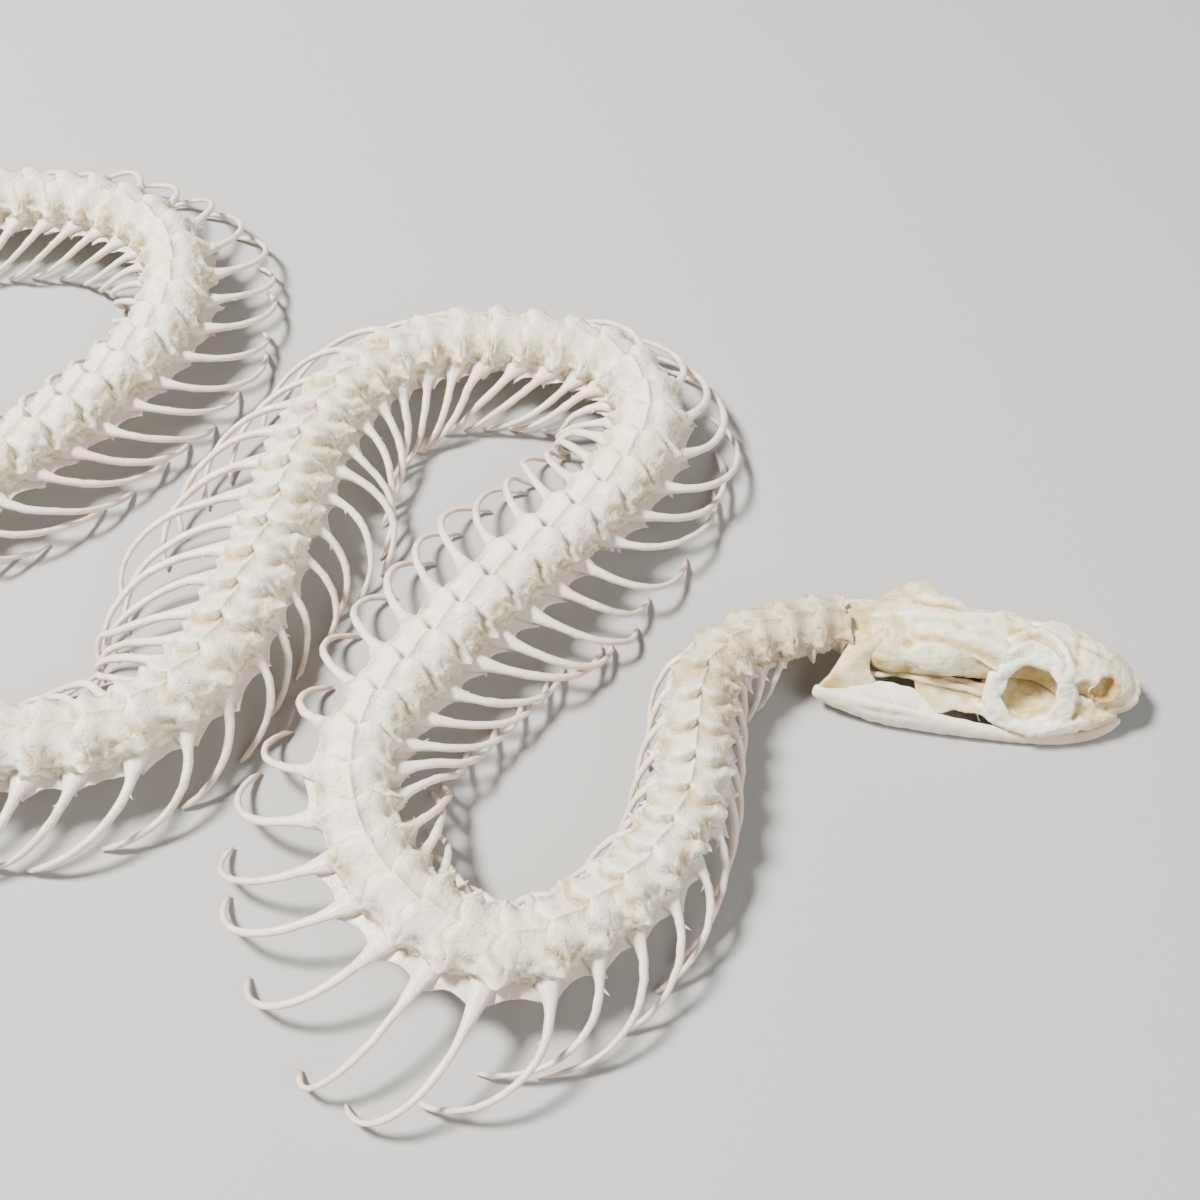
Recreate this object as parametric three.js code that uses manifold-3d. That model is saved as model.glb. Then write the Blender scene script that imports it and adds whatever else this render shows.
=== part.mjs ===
import * as THREE from 'three';
import { mergeVertices } from 'three/addons/utils/BufferGeometryUtils.js';
import Module from 'manifold-3d';

// Skeleton of a small keelback-like colubrid snake, lying on its belly in loops.
// Millimetres, +Z up, floor at z = 0. The spine is one long curve from the skull back
// to the tail tip. Vertebrae are counted from the skull, starting at 0.

const wasm = await Module();
wasm.setup();

// Driving dimensions of the body
const trunkCount = 130;
const tailCount = 60;
const vertebraPitch = 5.2;
const neckScale = 0.78;
const neckCount = 26;
const ventScale = 0.8;
const narrowFrom = 95;
const tipScale = 0.16;
const trunkLengthCount = 13;
const tailLengthCount = 4;
const tailSectionStep = 2.5;
const midlineGap = 0.3;
const lengthGap = 0.4;

// Vertebra section about the spine line, for a full-size vertebra
const archTop = 4.0;
const wingReach = 5.1;
const wingHeight = 1.3;
const flankReach = 4.3;
const flankDepth = 2.4;
const keelDepth = 3.8;
const keelReach = 1.0;

// Height of the spine line: low behind the skull, then carried on the ribs
const neckHeight = 7.2;
const neckRiseCount = 11;
const trunkHeight = 8.3;

// Ribs
const firstRib = 2;
const ribPhase = 0.22;
const ribRootReach = 3.6;
const ribRootHeight = -1.0;
const ribRootRadius = 0.8;
const ribTipRadius = 0.42;
const ribTipHeight = 0.3;
const longRibSections = [0, 0.3, 0.64, 1];
const shortRibSections = [0, 0.5, 1];
const shortRibSweep = 12;
const fineCount = 64;
const farSectionStep = 2;

// Shift that brings the middle of the floor plan to the origin
const planShift = [59.76, -4.25];

// Route of the spine line on the floor plan, head to tail: x, y. It runs on past the tail tip.
const route = [
  [29.9, -2.7], [24.0, -3.8], [17.4, -6.4], [12.6, -11.8], [11.0, -20.5], [9.4, -29.5], [3.0, -39.3],
  [-8.5, -46.0], [-19.5, -41.6], [-26.3, -31.8], [-27.0, -20.0], [-19.0, -6.2], [-8.5, 6.6], [1.8, 18.6],
  [6.6, 31.0], [2.5, 41.5], [-8.0, 46.4], [-21.5, 46.8], [-33.0, 39.8], [-39.2, 27.0], [-41.2, 13.5],
  [-43.4, 2.2], [-47.0, -10.5], [-55.5, -19.0], [-67.0, -21.0], [-79.5, -20.6], [-90.0, -13.0],
  [-94.5, 1.0], [-90.0, 15.5], [-79.5, 24.0], [-69.5, 37.0], [-62.8, 52.0], [-65.3, 68.0], [-76.0, 77.6],
  [-92.0, 80.5], [-107.0, 79.0], [-119.5, 71.5], [-127.0, 59.0], [-128.5, 44.0], [-126.5, 29.0],
  [-127.0, 14.0], [-131.0, -0.5], [-133.5, -15.5], [-130.0, -30.0], [-119.5, -40.5], [-105.5, -45.5],
  [-93.0, -52.0], [-87.5, -64.0], [-93.0, -76.0], [-106.0, -80.5], [-120.0, -79.0], [-133.0, -73.5],
  [-144.0, -64.5], [-151.0, -52.5], [-154.0, -39.0], [-154.5, -26.0], [-158.0, -14.0], [-165.0, -3.0],
  [-175.0, 4.0], [-188.0, 9.0],
];

// Lie of the ribs: vertebra, widest reach, backward sweep, share of the reach kept at the tip
const rightRibLie = [
  [2, 5.4, 6.0, 0.84], [6, 5.8, 8.0, 0.84], [9, 7.0, 10.5, 0.9], [11, 9.6, 10.8, 0.98],
  [13, 11.0, 10.2, 1.05], [15, 17.5, 6.0, 1.0], [16, 19.0, 5.0, 0.97], [18, 15.6, 7.2, 1.0],
  [20, 14.2, 7.0, 0.92], [22, 12.6, 6.6, 0.88], [25, 15.0, 12.0, 0.9], [28, 16.2, 15.0, 0.8],
  [31, 14.5, 15.5, 0.78], [35, 10.5, 16.0, 0.84], [44, 11.0, 15.5, 0.9], [47, 12.6, 11.5, 0.92],
  [49, 10.0, 9.0, 0.92], [52, 7.6, 8.0, 0.85], [54, 8.6, 8.6, 1.0], [56, 12.0, 11.0, 1.0],
  [60, 11.5, 12.5, 0.84], [68, 13.0, 12.0, 0.84], [80, 10.0, 13.0, 0.84], [95, 13.0, 12.0, 0.84],
  [115, 11.0, 11.0, 0.84], [129, 6.5, 6.0, 0.84],
];
const leftRibLie = [
  [2, 5.6, 6.0, 0.84], [8, 6.6, 9.0, 0.84], [12, 6.5, 10.5, 0.8], [16, 7.2, 14.5, 0.75],
  [18, 10.0, 17.0, 0.66], [22, 12.5, 18.0, 0.66], [25, 13.5, 16.5, 0.75], [27, 14.0, 11.0, 0.84],
  [30, 12.2, 15.4, 0.75], [34, 11.8, 15.0, 0.84], [40, 11.0, 14.0, 0.84], [45, 13.5, 13.5, 0.9],
  [48, 18.0, 17.5, 0.95], [52, 16.5, 16.0, 0.9], [55, 12.0, 16.5, 0.84], [58, 8.4, 13.5, 0.84],
  [66, 9.5, 14.0, 0.84], [74, 13.0, 13.0, 0.84], [82, 14.0, 11.0, 0.84], [90, 12.5, 12.0, 0.84],
  [110, 12.0, 11.5, 0.84], [129, 6.5, 6.0, 0.84],
];

// Skull: placed at the end of the neck, facing its own +X
const skullPlace = [31.5, -2.9];
const skullTurn = THREE.MathUtils.degToRad(-13);
const jointGap = 0.3;

// Cranium sections: distance forward, half width, top, bottom, height of the widest line
const craniumSections = [
  [0.2, 1.9, 8.0, 4.2, 6.0], [2.0, 4.0, 9.2, 3.6, 6.4], [5.4, 4.9, 10.2, 3.2, 6.8],
  [10.0, 4.9, 10.5, 3.2, 6.9], [14.5, 4.1, 10.5, 3.2, 7.4], [17.6, 3.8, 10.5, 3.4, 8.4],
  [21.5, 2.6, 10.4, 3.4, 8.8], [25.4, 4.2, 9.9, 3.0, 6.8], [29.4, 4.3, 8.4, 2.8, 5.2],
  [32.4, 3.3, 6.6, 2.5, 4.0], [34.2, 1.5, 4.7, 2.4, 3.5],
];
const orbitCentre = [21.3, 4.9, 6.0];
const orbitRadius = 4.25;
const orbitBar = 0.95;
const orbitTilt = THREE.MathUtils.degToRad(41);
const orbitTurn = THREE.MathUtils.degToRad(7);
const nostrilCentre = [30.0, 2.85, 6.6];
const nostrilRadius = 1.4;

// Bars of the jaws: forward, sideways, height of the middle, half width, half height
const mandibleBar = [
  [-3.9, 8.0, 3.0, 0.7, 0.9], [1.6, 8.75, 2.35, 0.9, 1.8], [5.0, 9.0, 2.1, 0.9, 2.0],
  [12.8, 8.7, 1.6, 0.85, 1.5], [21.6, 7.9, 0.95, 0.7, 0.9], [26.6, 6.9, 0.9, 0.7, 0.85],
  [30.6, 5.0, 0.9, 0.65, 0.8], [33.1, 2.7, 1.0, 0.5, 0.6],
];
const maxillaBar = [
  [15.4, 6.5, 3.9, 0.5, 0.5], [17.4, 7.1, 3.3, 0.75, 0.8], [20.0, 7.7, 2.9, 0.85, 0.8],
  [22.9, 7.75, 2.9, 0.85, 0.8], [26.6, 6.5, 3.1, 0.85, 1.1], [30.2, 4.8, 3.0, 0.7, 1.0],
  [32.2, 3.7, 2.9, 0.5, 0.8],
];
const palateBar = [
  [15.8, 4.8, 3.4, 1.7, 0.35], [18.5, 5.0, 2.9, 2.4, 0.35], [21.5, 5.1, 2.7, 2.6, 0.35],
  [26.8, 4.8, 2.6, 1.8, 0.35],
];

// Sheets of bone, each between two edge lines of forward, sideways, height
const sheetThickness = 0.7;
const mandibleCrest = [
  [[-2.2, 7.9, 3.9], [3.9, 6.2, 4.6], [8.5, 6.2, 4.0], [10.8, 7.3, 2.8]],
  [[-2.2, 8.6, 2.4], [3.9, 9.0, 2.2], [8.5, 8.8, 2.0], [11.8, 8.7, 1.8]],
];
const pterygoidSheet = [
  [[7.6, 4.6, 4.9], [10.2, 4.6, 4.8], [13.9, 4.7, 4.7], [17.4, 4.8, 4.7]],
  [[8.4, 7.0, 3.6], [10.8, 8.0, 2.8], [13.4, 7.3, 2.8], [17.2, 7.4, 3.1]],
];
const rightQuadrateSheet = [
  [[0.0, 2.2, 8.5], [-0.4, 4.3, 6.9], [-1.5, 6.6, 5.3], [-3.4, 8.2, 3.4]],
  [[5.6, 3.0, 8.9], [2.9, 3.9, 7.5], [2.5, 5.4, 5.9], [4.4, 6.8, 4.0]],
];
const leftQuadrateSheet = [
  [[-1.6, 5.9, 3.9], [1.2, 6.0, 5.6], [3.8, 6.1, 7.4], [7.5, 8.3, 7.6], [9.8, 5.6, 8.2]],
  [[-1.6, 4.5, 3.7], [2.4, 4.5, 6.0], [5.0, 3.0, 8.0], [7.3, 3.7, 8.4], [9.9, 4.0, 8.6]],
];

// The left mandible lies folded in under the skull, turned about its tip
const leftMandibleTurn = THREE.MathUtils.degToRad(3.5);

const boneColour = 0xe9e2cf;
const warmBoneColour = 0xe6dcbd;
const boneRoughness = 0.55;
const sliverSize = 0.06;
const weldSize = 0.03;

function boneMaterial(colour) {
  return new THREE.MeshStandardMaterial({ color: colour, roughness: boneRoughness, metalness: 0 });
}

// A closed solid through rings of equal length, each ring listed the same way round.
function loft(rings) {
  const sides = rings[0].length;
  const last = (rings.length - 1) * sides;
  const index = [];
  for (let r = 0; r < rings.length - 1; r += 1) {
    for (let k = 0; k < sides; k += 1) {
      const a = r * sides + k;
      const b = r * sides + (k + 1) % sides;
      index.push(a, b, b + sides, a, b + sides, a + sides);
    }
  }
  for (let k = 1; k < sides - 1; k += 1) {
    index.push(0, k + 1, k);
    index.push(last, last + k, last + k + 1);
  }
  const geometry = new THREE.BufferGeometry();
  geometry.setAttribute('position', new THREE.Float32BufferAttribute(rings.flat(2), 3));
  geometry.setIndex(index);
  return geometry;
}

// Signed volume of an indexed geometry; it is negative where the faces point in.
function signedVolume(geometry) {
  const place = geometry.getAttribute('position');
  const index = geometry.getIndex();
  const corners = [new THREE.Vector3(), new THREE.Vector3(), new THREE.Vector3()];
  let total = 0;
  for (let i = 0; i < index.count; i += 3) {
    corners.forEach((corner, k) => corner.fromBufferAttribute(place, index.getX(i + k)));
    total += corners[0].dot(corners[1].clone().cross(corners[2])) / 6;
  }
  return total;
}

function solidOf(geometry) {
  const bare = geometry.clone();
  bare.deleteAttribute('normal');
  bare.deleteAttribute('uv');
  const merged = mergeVertices(bare, 1e-4);
  const triVerts = Uint32Array.from(merged.getIndex().array);
  if (signedVolume(merged) < 0) triVerts.reverse();
  const vertProperties = Float32Array.from(merged.getAttribute('position').array);
  return new wasm.Manifold(new wasm.Mesh({ numProp: 3, vertProperties, triVerts }));
}

function largestPiece(solid) {
  return solid.decompose().sort((a, b) => b.volume() - a.volume())[0];
}

function bareGeometry(solid) {
  const mesh = solid.getMesh();
  const geometry = new THREE.BufferGeometry();
  geometry.setAttribute('position', new THREE.Float32BufferAttribute(mesh.vertProperties, 3));
  geometry.setIndex(Array.from(mesh.triVerts));
  return geometry;
}

// Joins corners closer than the weld size, and drops the triangles that this closes up.
// Corners are sorted into cells, so a second pass with shifted cells takes pairs that straddle two.
function weldedGeometry(geometry) {
  let welded = geometry;
  for (const shift of [weldSize / 2, -weldSize / 2]) {
    welded = mergeVertices(welded.translate(shift, shift, shift), weldSize);
    welded.translate(-shift, -shift, -shift);
    const corners = Array.from(welded.getIndex().array);
    const kept = [];
    for (let i = 0; i < corners.length; i += 3) {
      const [a, b, c] = corners.slice(i, i + 3);
      if (a !== b && b !== c && c !== a) kept.push(a, b, c);
    }
    welded.setIndex(kept);
  }
  return welded;
}

// Slivers and crumbs left where pieces join or are cut are dropped.
function geometryOf(solid) {
  const clean = solidOf(weldedGeometry(bareGeometry(solid.simplify(sliverSize))));
  const geometry = bareGeometry(largestPiece(clean));
  geometry.computeVertexNormals();
  return geometry;
}

function addNode(group, name, solid, colour) {
  const mesh = new THREE.Mesh(geometryOf(solid), boneMaterial(colour));
  mesh.name = name;
  group.add(mesh);
}

// Spine line: a uniform Catmull-Rom curve through the route, and its length table.
const routePoints = route.map(([x, y]) => new THREE.Vector2(x, y));
const stepsPerSpan = 24;

function catmullRom(a, b, c, d, t) {
  const value = (p, q, r, s) => 0.5 * (2 * q + (r - p) * t
    + (2 * p - 5 * q + 4 * r - s) * t * t + (3 * q - p - 3 * r + s) * t * t * t);
  return new THREE.Vector2(value(a.x, b.x, c.x, d.x), value(a.y, b.y, c.y, d.y));
}

const spine = [];
for (let i = 0; i < routePoints.length - 1; i += 1) {
  const before = routePoints[Math.max(i - 1, 0)];
  const after = routePoints[Math.min(i + 2, routePoints.length - 1)];
  for (let k = 0; k < stepsPerSpan; k += 1) {
    spine.push(catmullRom(before, routePoints[i], routePoints[i + 1], after, k / stepsPerSpan));
  }
}
spine.push(routePoints[routePoints.length - 1]);
const spineReach = [0];
for (let i = 1; i < spine.length; i += 1) {
  spineReach.push(spineReach[i - 1] + spine[i].distanceTo(spine[i - 1]));
}

// Point of the spine line at a distance from the skull, with its left direction.
function spineAt(distance) {
  let i = 1;
  while (i < spine.length - 1 && spineReach[i] < distance) i += 1;
  const t = (distance - spineReach[i - 1]) / (spineReach[i] - spineReach[i - 1]);
  const before = spine[Math.max(i - 2, 0)];
  const after = spine[Math.min(i + 1, spine.length - 1)];
  const back = after.clone().sub(before).normalize();
  return {
    point: spine[i - 1].clone().lerp(spine[i], t),
    left: new THREE.Vector2(back.y, -back.x),
  };
}

// Size of vertebra i against a full-size one: it grows down the neck and fades to the tail.
function sizeOf(i) {
  if (i < neckCount) return neckScale + (1 - neckScale) * Math.max(i, 0) / neckCount;
  if (i < narrowFrom) return 1;
  if (i < trunkCount) return 1 - (1 - ventScale) * (i - narrowFrom) / (trunkCount - narrowFrom);
  const along = Math.min((i - trunkCount) / tailCount, 1);
  return ventScale - (ventScale - tipScale) * along;
}

// Distance of the front of each vertebra along the spine line.
const vertebraCount = trunkCount + tailCount;
const vertebraFront = [0];
for (let i = 1; i <= vertebraCount; i += 1) {
  vertebraFront.push(vertebraFront[i - 1] + vertebraPitch * sizeOf(i));
}

function distanceOf(i) {
  const whole = Math.min(Math.floor(i), vertebraCount - 1);
  return THREE.MathUtils.lerp(vertebraFront[whole], vertebraFront[whole + 1], i - whole);
}

// Height of the spine line over the floor; the tail lies on its keels.
function heightOf(i) {
  const onKeels = keelDepth * sizeOf(i);
  if (i < neckRiseCount) return neckHeight + (trunkHeight - neckHeight) * i / neckRiseCount;
  if (i < narrowFrom) return trunkHeight;
  if (i < trunkCount) {
    return THREE.MathUtils.mapLinear(i, narrowFrom, trunkCount, trunkHeight, keelDepth * ventScale);
  }
  return onKeels;
}

function placeAt(distance, sideways, height) {
  const at = spineAt(distance);
  const point = at.point.clone().addScaledVector(at.left, sideways);
  return [point.x, point.y, height];
}

// Half of the column on one side (+1 left, -1 right), from the midline out.
function halfSection(i, distance, side) {
  const k = sizeOf(i);
  const outline = [
    [midlineGap / 2, archTop * k], [wingReach * k, wingHeight * k],
    [flankReach * k, -flankDepth * k], [midlineGap / 2, -keelDepth * k],
  ];
  return outline.map(([reach, rise]) => placeAt(distance, side * reach, heightOf(i) + rise));
}

function columnRings(from, to, step, sectionOf) {
  const startDistance = distanceOf(from) + lengthGap / 2;
  const endDistance = distanceOf(to) - lengthGap / 2;
  const rings = [];
  for (let i = from; i <= to; i += step) {
    const distance = Math.min(Math.max(distanceOf(i), startDistance), endDistance);
    rings.push(sectionOf(i, distance));
  }
  return rings;
}

// Values of a lie table at vertebra i.
function lieAt(lie, i) {
  let k = 1;
  while (k < lie.length - 1 && lie[k][0] < i) k += 1;
  const t = THREE.MathUtils.clamp((i - lie[k - 1][0]) / (lie[k][0] - lie[k - 1][0]), 0, 1);
  const [reach, sweep, kept] = [1, 2, 3].map((n) => THREE.MathUtils.lerp(lie[k - 1][n], lie[k][n], t));
  return { reach, sweep, kept };
}

function bezier(a, b, c, d, t) {
  const s = 1 - t;
  return a * s * s * s + 3 * b * s * s * t + 3 * c * s * t * t + d * t * t * t;
}

// A rib arches out, down and back, and its tip hooks in and rests on the floor.
// It is laid out in the body's own curved frame: distance back, sideways, height.
function ribSolid(i, side, lie) {
  const k = sizeOf(i);
  const { reach, sweep, kept } = lieAt(lie, i);
  const rootDistance = distanceOf(i + ribPhase);
  const rootReach = ribRootReach * k;
  const spread = reach - rootReach;
  const rootHeight = heightOf(i) + ribRootHeight * k;
  const fine = i < fineCount && sweep > shortRibSweep;
  const sections = fine ? longRibSections : shortRibSections;
  const point = (t) => new THREE.Vector3(...placeAt(
    rootDistance + bezier(0, 0.08, 0.5, 1, t) * sweep,
    side * (rootReach + bezier(0, 0.7, 1.3, kept, t) * spread),
    bezier(rootHeight, rootHeight, rootHeight * 0.5, ribTipHeight, t),
  ));
  const rings = sections.map((t) => {
    const middle = point(t);
    const along = point(Math.min(t + 0.02, 1)).sub(point(Math.max(t - 0.02, 0))).normalize();
    const across = new THREE.Vector3(0, 0, 1).cross(along).normalize();
    const up = along.clone().cross(across);
    const radius = THREE.MathUtils.lerp(ribRootRadius, ribTipRadius, t) * Math.max(k, 0.75);
    return [0, 1, 2].map((corner) => {
      const angle = Math.PI / 2 + corner * Math.PI * 2 / 3;
      return middle.clone().addScaledVector(across, Math.cos(angle) * radius)
        .addScaledVector(up, Math.sin(angle) * radius).toArray();
    });
  });
  return solidOf(loft(rings));
}

function buildTrunk(group) {
  const perLength = trunkCount / trunkLengthCount;
  for (let length = 0; length < trunkLengthCount; length += 1) {
    const from = length * perLength;
    const to = from + perLength;
    const step = from < fineCount ? 1 : farSectionStep;
    for (const [sideName, side, lie] of [['right', -1, rightRibLie], ['left', 1, leftRibLie]]) {
      const rings = columnRings(from, to, step, (i, distance) => halfSection(i, distance, side));
      let solid = solidOf(loft(rings));
      for (let i = Math.max(from, firstRib); i < to; i += 1) {
        solid = solid.add(ribSolid(i, side, lie));
      }
      const place = String(length + 1).padStart(2, '0');
      addNode(group, `trunk_${place}_${sideName}`, solid, boneColour);
    }
  }
}

function tailSection(i, distance) {
  const k = sizeOf(i);
  const outline = [
    [0, archTop], [wingReach, 0], [keelReach, -keelDepth], [-keelReach, -keelDepth], [-wingReach, 0],
  ];
  return outline.map(([reach, rise]) => placeAt(distance, reach * k, heightOf(i) + rise * k));
}

function buildTail(group) {
  const perLength = tailCount / tailLengthCount;
  for (let length = 0; length < tailLengthCount; length += 1) {
    const from = trunkCount + length * perLength;
    const rings = columnRings(from, from + perLength, tailSectionStep, tailSection);
    addNode(group, `tail_${length + 1}`, solidOf(loft(rings)), boneColour);
  }
}

// Cranium section: eight corners, widest at its own height, with a flatter roof.
function craniumRing([forward, halfWidth, top, bottom, widest], grow) {
  const outline = [
    [0.45, top], [1, widest], [0.85, (widest + bottom) / 2], [0.4, bottom],
  ];
  const corner = ([share, height]) => {
    const rise = height + grow * Math.sign(height - widest);
    return [share * halfWidth + grow, rise];
  };
  const right = outline.map(corner);
  const left = [...right].reverse();
  return [...right.map(([y, z]) => [forward, -y, z]), ...left.map(([y, z]) => [forward, y, z])];
}

function craniumSolid(grow) {
  return solidOf(loft(craniumSections.map((section) => craniumRing(section, grow))));
}

// A bar through a list of stations; each section is a six-sided oval, upright along +X.
function barSolid(stations, side, grow = 0) {
  const rings = stations.map(([x, y, z, halfWidth, halfHeight], n) => {
    const before = stations[Math.max(n - 1, 0)];
    const after = stations[Math.min(n + 1, stations.length - 1)];
    const along = new THREE.Vector3(after[0] - before[0], (after[1] - before[1]) * side, 0).normalize();
    const across = new THREE.Vector3(-along.y, along.x, 0);
    return [0, 1, 2, 3, 4, 5].map((corner) => {
      const angle = Math.PI / 6 + corner * Math.PI / 3;
      const out = Math.cos(angle) / Math.cos(Math.PI / 6) * (halfWidth + grow);
      return [x + across.x * out, y * side + across.y * out, z + Math.sin(angle) * (halfHeight + grow)];
    });
  });
  return solidOf(loft(rings));
}

// A flat plate between two edge lines, thick across its own plane. Growing moves every face out.
function sheetSolid([edgeA, edgeB], side, grow = 0) {
  const last = edgeA.length - 1;
  const endShift = { 0: -grow, [last]: grow };
  const placed = ([x, y, z]) => new THREE.Vector3(x, y * side, z);
  const middles = edgeA.map((corner, n) => placed(corner).lerp(placed(edgeB[n]), 0.5));
  const rings = edgeA.map((corner, n) => {
    const along = middles[Math.min(n + 1, last)].clone().sub(middles[Math.max(n - 1, 0)]).normalize();
    const across = placed(edgeB[n]).sub(placed(corner)).normalize();
    const thick = along.clone().cross(across).normalize().multiplyScalar(sheetThickness / 2 + grow);
    const shift = along.multiplyScalar(endShift[n] ?? 0);
    const a = placed(corner).addScaledVector(across, -grow).add(shift);
    const b = placed(edgeB[n]).addScaledVector(across, grow).add(shift);
    const corners = [a.clone().add(thick), b.clone().add(thick), b.sub(thick), a.sub(thick)];
    return corners.map((point) => point.toArray());
  });
  return solidOf(loft(rings));
}

function orbitRing(side, grow) {
  const ring = new THREE.TorusGeometry(orbitRadius, orbitBar + grow, 5, 12);
  const facing = new THREE.Vector3(
    Math.sin(orbitTurn),
    side * Math.cos(orbitTurn) * Math.cos(orbitTilt),
    Math.sin(orbitTilt),
  ).normalize();
  const [forward, sideways, height] = orbitCentre;
  ring.applyQuaternion(new THREE.Quaternion().setFromUnitVectors(new THREE.Vector3(0, 0, 1), facing));
  ring.translate(forward, side * sideways, height);
  return solidOf(ring);
}

function upperJawSolid(side, grow) {
  return barSolid(maxillaBar, side, grow).add(barSolid(palateBar, side, grow)).add(orbitRing(side, grow));
}

function mandibleSolid(side, grow) {
  const solid = barSolid(mandibleBar, side, grow).add(sheetSolid(mandibleCrest, side, grow));
  if (side < 0) return solid;
  const [tipForward, tipSideways] = mandibleBar[mandibleBar.length - 1];
  return solid.translate(-tipForward, -tipSideways, 0)
    .rotate(0, 0, THREE.MathUtils.radToDeg(leftMandibleTurn)).translate(tipForward, tipSideways, 0);
}

function ball(centre, radius, side) {
  const shape = new THREE.IcosahedronGeometry(radius, 1);
  shape.translate(centre[0], centre[1] * side, centre[2]);
  return solidOf(shape);
}

function buildSkull(group) {
  const skull = new THREE.Group();
  skull.position.set(skullPlace[0], skullPlace[1], 0);
  skull.rotation.z = skullTurn;
  let cranium = craniumSolid(0);
  for (const side of [-1, 1]) cranium = cranium.subtract(ball(nostrilCentre, nostrilRadius, side));
  addNode(skull, 'cranium', cranium, warmBoneColour);
  const clearOfCranium = craniumSolid(jointGap);
  const sides = [['right', -1, rightQuadrateSheet], ['left', 1, leftQuadrateSheet]];
  for (const [sideName, side, quadrateSheet] of sides) {
    const upperJaw = upperJawSolid(side, 0).subtract(clearOfCranium);
    addNode(skull, `upper_jaw_${sideName}`, upperJaw, boneColour);
    const clearOfUpperJaw = upperJawSolid(side, jointGap);
    const mandible = mandibleSolid(side, 0).subtract(clearOfUpperJaw);
    addNode(skull, `mandible_${sideName}`, mandible, boneColour);
    const clearOfMandible = mandibleSolid(side, jointGap);
    const quadrate = sheetSolid(quadrateSheet, side).subtract(clearOfCranium).subtract(clearOfMandible);
    addNode(skull, `quadrate_${sideName}`, quadrate, warmBoneColour);
    const clearOfQuadrate = sheetSolid(quadrateSheet, side, jointGap);
    const pterygoid = sheetSolid(pterygoidSheet, side).subtract(clearOfCranium).subtract(clearOfMandible)
      .subtract(clearOfQuadrate).subtract(clearOfUpperJaw);
    addNode(skull, `pterygoid_${sideName}`, pterygoid, warmBoneColour);
  }
  group.add(skull);
}

const snake = new THREE.Group();
const bones = new THREE.Group();
bones.position.set(planShift[0], planShift[1], 0);
snake.add(bones);
buildSkull(bones);
buildTrunk(bones);
buildTail(bones);
snake.updateMatrixWorld(true);

export default snake;
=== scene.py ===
import math
import bpy
import numpy as np
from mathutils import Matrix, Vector


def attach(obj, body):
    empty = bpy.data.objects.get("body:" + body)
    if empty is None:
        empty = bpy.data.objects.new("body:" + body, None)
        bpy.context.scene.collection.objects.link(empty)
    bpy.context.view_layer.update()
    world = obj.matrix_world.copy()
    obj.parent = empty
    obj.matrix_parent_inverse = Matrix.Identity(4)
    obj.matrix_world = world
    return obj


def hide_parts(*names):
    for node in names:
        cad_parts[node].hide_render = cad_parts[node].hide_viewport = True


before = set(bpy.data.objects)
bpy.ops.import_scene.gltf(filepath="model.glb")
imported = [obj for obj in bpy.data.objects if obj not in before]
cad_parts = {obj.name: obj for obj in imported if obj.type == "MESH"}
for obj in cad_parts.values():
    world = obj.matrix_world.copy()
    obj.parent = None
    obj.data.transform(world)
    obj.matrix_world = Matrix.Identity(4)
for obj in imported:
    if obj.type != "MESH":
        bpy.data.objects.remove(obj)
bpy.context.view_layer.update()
print("frame loaded,", len(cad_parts), "nodes")

# Lengths are worked out in millimetres on the plan that the route is drawn on,
# then moved to the middle of the floor plan and turned into metres.
plan = {"shift": (59.76, -4.25, 0.0), "metresPerUnit": 0.001}

# a seed for each thing that is drawn at random
seeds = {
    "vertebra": 20, "columnLumps": 21, "columnFibres": 22, "columnStainAndShade": 23, "ribSkin": 27, "webSkin": 29,
    "craniumLumps": 50, "craniumRipples": 51, "craniumGrain": 52, "mandible": 61, "upperJaw": 62,
    "plate": 63, "plateStain": 64, "upperJawGrain": 65, "upperJawStreaks": 66,
}


def toFrame(points):
    # plan in millimetres to the frame in metres: shifted, then scaled
    return (points + np.array(plan["shift"])) * plan["metresPerUnit"]


# Number helpers

def ramp(low, high, x):
    # smooth step from 0 at low to 1 at high
    t = np.clip((x - low) / (high - low), 0, 1)
    return t * t * (3 - 2 * t)


def bump(x, centre, width):
    # bell of height 1 on a repeating 0..1 scale
    away = (x - centre + 0.5) % 1 - 0.5
    return np.exp(-(away / width) ** 2)


def bell(x, centre, width):
    # bell of height 1 on an open scale
    return np.exp(-((x - centre) / width) ** 2)


def between(rise, fall, x):
    # smooth step up over the first pair of places, and down again over the second
    return ramp(*rise, x) * (1 - ramp(*fall, x))


def circle(count):
    # angles of this many points spaced evenly round a circle
    return np.arange(count) * 2 * math.pi / count


def bezier(a, b, c, d, t):
    # cubic Bezier curve with the weights a to d
    s = 1 - t
    return a * s**3 + 3 * b * s * s * t + 3 * c * s * t * t + d * t**3


def unit(vectors):
    # each vector divided by its length
    return vectors / np.linalg.norm(vectors, axis=-1, keepdims=True)


def catmullRows(rows, steps, closed=False):
    # uniform Catmull-Rom curve through the rows, with this many steps in each span
    rows = np.asarray(rows, float)
    if closed:
        a, b, c, d = (np.roll(rows, shift, 0) for shift in (1, 0, -1, -2))
    else:
        padded = np.vstack([rows[:1], rows, rows[-1:]])
        a, b, c, d = padded[:-3], padded[1:-2], padded[2:-1], padded[3:]
    t = (np.arange(steps) / steps).reshape((1, steps) + (1,) * (rows.ndim - 1))
    a, b, c, d = (x[:, None] for x in (a, b, c, d))
    curve = 0.5 * (2 * b + (c - a) * t + (2 * a - 5 * b + 4 * c - d) * t**2
                   + (3 * b - a - 3 * c + d) * t**3)
    curve = curve.reshape((-1,) + rows.shape[1:])
    return curve if closed else np.concatenate([curve, rows[-1:]])


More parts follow.
